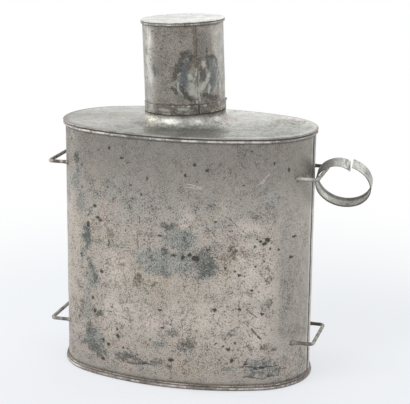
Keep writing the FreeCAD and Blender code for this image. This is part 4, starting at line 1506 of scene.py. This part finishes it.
class FLASK_OT_strap_ring(bpy.types.Operator):
    """Bends the strip ring, with its folded far edge, sprung joint and solder"""

    bl_idname = "flask.strap_ring"
    bl_label = "Strap Ring"

    def execute(self, context):
        wire = context.scene.flask_wire
        half, width, hem = 0.5 * wire.ring_sheet, wire.ring_width, wire.ring_hem
        tilt = wire.ring_tilt
        middle = Vector((wire.ring_x, 0.0, wire.ring_z))
        ways = (Vector((1, 0, 0)), Vector((0, -math.sin(tilt), math.cos(tilt))))
        axis = Vector((0, math.cos(tilt), math.sin(tilt)))
        fold = width - hem
        section = [(half, 0.12 * MM)] + [(half, width * part) for part in (0.12, 0.28, 0.45, 0.62, 0.78, 0.9)]
        section += [
            (half, width - 0.2 * MM), (0.5 * half, width), (-half, width),
            (-half - 0.3 * MM, width - 0.14 * MM),
        ]
        section += [(-half - 0.36 * MM, width - 0.5 * hem), (-half - 0.32 * MM, fold + 0.08 * MM)]
        section += [(-half - 0.12 * MM, fold - 0.02 * MM), (-half, fold - 0.1 * MM)]
        section += [(-half, width * part) for part in (0.72, 0.55, 0.36, 0.18)]
        section += [(-half, 0.12 * MM), (-0.5 * half, 0.0), (0.5 * half, 0.0)]
        main = 2 * math.pi - (wire.tail_start - wire.ring_start)
        steps = 168
        tail_steps = 34
        change = wire.ring_radius - wire.tail_radius
        hub = Vector((math.cos(wire.tail_start), math.sin(wire.tail_start))) * change
        rings, wear = [], {"solder": [], "grime": [], "rust": [], "bright": []}
        for step in range(steps + tail_steps + 1):
            ring, made = [], []
            for offset, across in section:
                over = across / width
                level = (across, 0.0, 0.0)
                jag = 0.9 * rough(level, 0.0011, 3.0) + 0.5 * rough(level, 0.0005, 9.0)
                if step <= steps:
                    part = step / steps
                    turn = wire.ring_start - main * part
                    start_jag = math.radians(0.9) * jag * smooth(0.04 - part, 0.0, 0.04)
                    turn += start_jag
                    sprung = 0.45 * MM * (1 - smooth(part, 0.0, 0.19))
                    flat = Vector((math.cos(turn), math.sin(turn))) * (wire.ring_radius + offset + sprung)
                    round_turn = turn
                else:
                    part = (step - steps) / tail_steps
                    bend = wire.tail_turn * (1 + 0.18 * (0.5 - over)) * part
                    turn = wire.tail_start - bend - math.radians(1.4) * jag * smooth(part, 0.85, 1.0)
                    tight = wire.tail_radius * (1 + 0.03 * (over - 0.5) * part)
                    pinch = 0.35 * MM * (0.6 - over) * smooth(part, 0.2, 1.0)
                    flat = hub + Vector((math.cos(turn), math.sin(turn))) * (tight + offset - pinch)
                    round_turn = turn
                place = middle + ways[0] * flat.x + ways[1] * flat.y + axis * across
                crumple = 0.08 * MM * (rough(place, 0.004, 6.0) - 0.7)
                out = (ways[0] * flat.x + ways[1] * flat.y).normalized()
                ring.append(place + out * crumple)
                outside = offset > 0
                beside_fold = offset < -0.5 * half and fold - 0.8 * MM < across < fold + 0.1 * MM
                in_fold = offset < -half - 0.05 * MM or beside_fold
                near_rim = across < 0.3 * MM and offset <= half * 0.6
                far_rim = across > width - 0.05 * MM and offset > -half - 0.1 * MM
                speckle = smooth(0.5 + 0.9 * rough(place, 0.0011, 5.0), 0.25, 0.7)
                at_tail = smooth(step, steps + 13, steps + 19)
                tail_patch = at_tail * speckle if outside else 0.0
                start_patch = (1 - smooth(step, 3, 15)) * (0.8 if outside else 0.3)
                start_patch *= smooth(0.5 + 0.8 * rough(place, 0.002, 8.0), 0.3, 0.8)
                patch = rough(place, 0.005, 2.0)
                on_top = smooth(math.sin(round_turn), 0.55, 0.9)
                # Grime in the fold and along both rims is dirt and painted shade; the last value adds a painted
                # highlight on the ring's upper part, with its pale solder.
                made.append((
                    max(tail_patch, start_patch),
                    max(0.5 if in_fold else 0.0, 0.95 if near_rim or far_rim else 0.0),
                    max(0.5 * smooth(patch, 0.1, 0.6), 0.6 * (1 - speckle) * at_tail),
                    max(tail_patch, 0.8 * start_patch, 0.25 * on_top if outside else 0.0),
                ))
            rings.append(ring)
            for key, values in zip(wear, zip(*made)):
                wear[key].append(values)
        piece = skin("ring", rings, wear, False, True, True)
        finished(piece, "ring", "ring_tin", tin_for("ring_tin"), "strap_ring")
        return {"FINISHED"}


# Stage


def white_where_seen(tree):
    """1 for rays from the camera, in a reflection or through glass, and 0 for light."""
    path = put(tree, "ShaderNodeLightPath")
    seen = larger(tree, path.outputs["Is Camera Ray"], path.outputs["Is Glossy Ray"])
    return larger(tree, seen, path.outputs["Is Transmission Ray"])


def floor_material(stage):
    """Pale floor that keeps the flask's soft shadow and fades to white far away."""
    material, tree = new_material("studio_floor")
    place = put(tree, "ShaderNodeTexCoord").outputs["Object"]
    far = vector_sums(tree, "LENGTH", place)
    grain = ramp(tree, clouds(tree, place, 60.0, 2.0), 0.3, 0.7, 0.995, 1.0)
    paper = mixed(tree, grain, tuple(0.97 * c for c in stage.floor_tone), stage.floor_tone)
    surface = put(tree, "ShaderNodeBsdfDiffuse", {"Color": paper})
    tone = mixed(tree, ramp(tree, far, 0.16, 0.36), (0.94, 0.97, 1.0), (0.99, 1.0, 1.0))
    glow = put(tree, "ShaderNodeEmission", {"Color": tone, "Strength": 1.0})
    white = put(tree, "ShaderNodeEmission", {"Color": (1, 1, 1, 1), "Strength": 1.0})
    part = times(tree, white_where_seen(tree), stage.floor_glow)
    near = put(tree, "ShaderNodeMixShader", {0: part, 1: surface.outputs[0], 2: glow.outputs[0]})
    fade = times(tree, ramp(tree, far, 0.20, 0.46), white_where_seen(tree))
    ground = put(tree, "ShaderNodeMixShader", {0: fade, 1: near.outputs[0], 2: white.outputs[0]})
    put(tree, "ShaderNodeOutputMaterial", {"Surface": ground.outputs[0]})
    return material


def soft_lamp(name, at, towards, size, power, tint=(1, 1, 1)):
    lamp = bpy.data.lights.new(name, "AREA")
    lamp.shape = "RECTANGLE"
    lamp.size, lamp.size_y = size
    lamp.energy = power
    lamp.color = tint
    item = bpy.data.objects.new(name, lamp)
    item.location = at
    item.rotation_mode = "QUATERNION"
    item.rotation_quaternion = (Vector(towards) - Vector(at)).to_track_quat("-Z", "Y")
    bpy.context.scene.collection.objects.link(item)
    return item


class FLASK_OT_stage(bpy.types.Operator):
    """Sets the pale floor, the soft lamps, the white surroundings and the camera"""

    bl_idname = "flask.stage"
    bl_label = "Stage"

    def execute(self, context):
        scene = context.scene
        stage = scene.flask_stage
        half = stage.floor_size / 2
        mesh = bpy.data.meshes.new("floor")
        cells = 8
        spots = [
            (-half + stage.floor_size * i / cells, -half + stage.floor_size * j / cells, 0.0)
            for j in range(cells + 1) for i in range(cells + 1)
        ]
        row = cells + 1
        firsts = [j * row + i for j in range(cells) for i in range(cells)]
        faces = [(first, first + 1, first + row + 1, first + row) for first in firsts]
        mesh.from_pydata(spots, [], faces)
        mesh.materials.append(floor_material(stage))
        floor = bpy.data.objects.new("floor", mesh)
        floor.location.z = -0.0001
        scene.collection.objects.link(floor)

        world = bpy.data.worlds.new("surroundings")
        world.use_nodes = True
        tree = world.node_tree
        tree.nodes.clear()
        inputs = {0: white_where_seen(tree), 2: stage.sky, 3: 1.0}
        strength = put(tree, "ShaderNodeMix", inputs, data_type="FLOAT").outputs[0]
        back = put(tree, "ShaderNodeBackground", {"Color": (0.985, 0.99, 1.0, 1), "Strength": strength})
        put(tree, "ShaderNodeOutputWorld", {"Surface": back.outputs[0]})
        scene.world = world

        aim = (0.0, 0.0, 0.11)
        soft_lamp("key", (-0.62, -0.86, 1.05), aim, (0.7, 0.7), 5.0)
        soft_lamp("side", (-0.95, 0.1, 0.35), aim, (0.25, 0.9), 2.6)
        soft_lamp("back", (0.2, 1.0, 0.75), aim, (1.1, 0.5), 1.4)
        soft_lamp("front", (0.75, -0.57, 0.9), aim, (0.35, 0.35), 1.0)
        soft_lamp("right", (0.95, 0.45, 0.4), aim, (0.3, 0.9), 1.9)

        camera = bpy.data.cameras.new("camera")
        camera.sensor_fit = "HORIZONTAL"
        camera.sensor_width = 36.0
        camera.lens = stage.focal
        camera.clip_start, camera.clip_end = 0.01, 50.0
        eye = bpy.data.objects.new("camera", camera)
        place, target = Vector(stage.camera_from), Vector(stage.camera_at)
        eye.location = place
        eye.rotation_mode = "QUATERNION"
        look = (target - place).to_track_quat("-Z", "Y")
        eye.rotation_quaternion = look @ Quaternion((0, 0, 1), stage.camera_roll)
        scene.collection.objects.link(eye)
        scene.camera = eye
        scene.view_settings.view_transform = "Standard"
        return {"FINISHED"}


class FLASK_PT_panel(bpy.types.Panel):
    """Sizes, colours and the pieces that use them"""

    bl_idname = "FLASK_PT_panel"
    bl_label = "Oval Tin Flask"
    bl_space_type = "VIEW_3D"
    bl_region_type = "UI"
    bl_category = "Flask"

    def draw(self, context):
        scene = context.scene
        for group in GROUPS:
            box = self.layout.box()
            box.label(text=group.replace("flask_", "").title())
            settings = getattr(scene, group)
            for key in settings.__annotations__:
                box.prop(settings, key)
        for step in STEPS:
            self.layout.operator("flask." + step)


GROUPS = {
    "flask_body": FLASK_PG_body,
    "flask_cup": FLASK_PG_cup,
    "flask_wire": FLASK_PG_wire,
    "flask_finish": FLASK_PG_finish,
    "flask_stage": FLASK_PG_stage,
}
STEPS = [
    "stage", "wall", "base", "shoulder", "neck", "cork", "cup_wall", "cup_end", "strap_loops", "strap_ring",
]
CLASSES = [
    *GROUPS.values(),
    FLASK_OT_stage, FLASK_OT_wall, FLASK_OT_base, FLASK_OT_shoulder, FLASK_OT_neck, FLASK_OT_cork,
    FLASK_OT_cup_wall, FLASK_OT_cup_end, FLASK_OT_strap_loops, FLASK_OT_strap_ring, FLASK_PT_panel,
]


def register():
    for item in CLASSES:
        bpy.utils.register_class(item)
    for name, group in GROUPS.items():
        setattr(bpy.types.Scene, name, PointerProperty(type=group))


def unregister():
    for name in GROUPS:
        delattr(bpy.types.Scene, name)
    for item in reversed(CLASSES):
        bpy.utils.unregister_class(item)


def main():
    register()
    for step in STEPS:
        getattr(bpy.ops.flask, step)()
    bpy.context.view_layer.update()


if __name__ == "__main__":
    main()
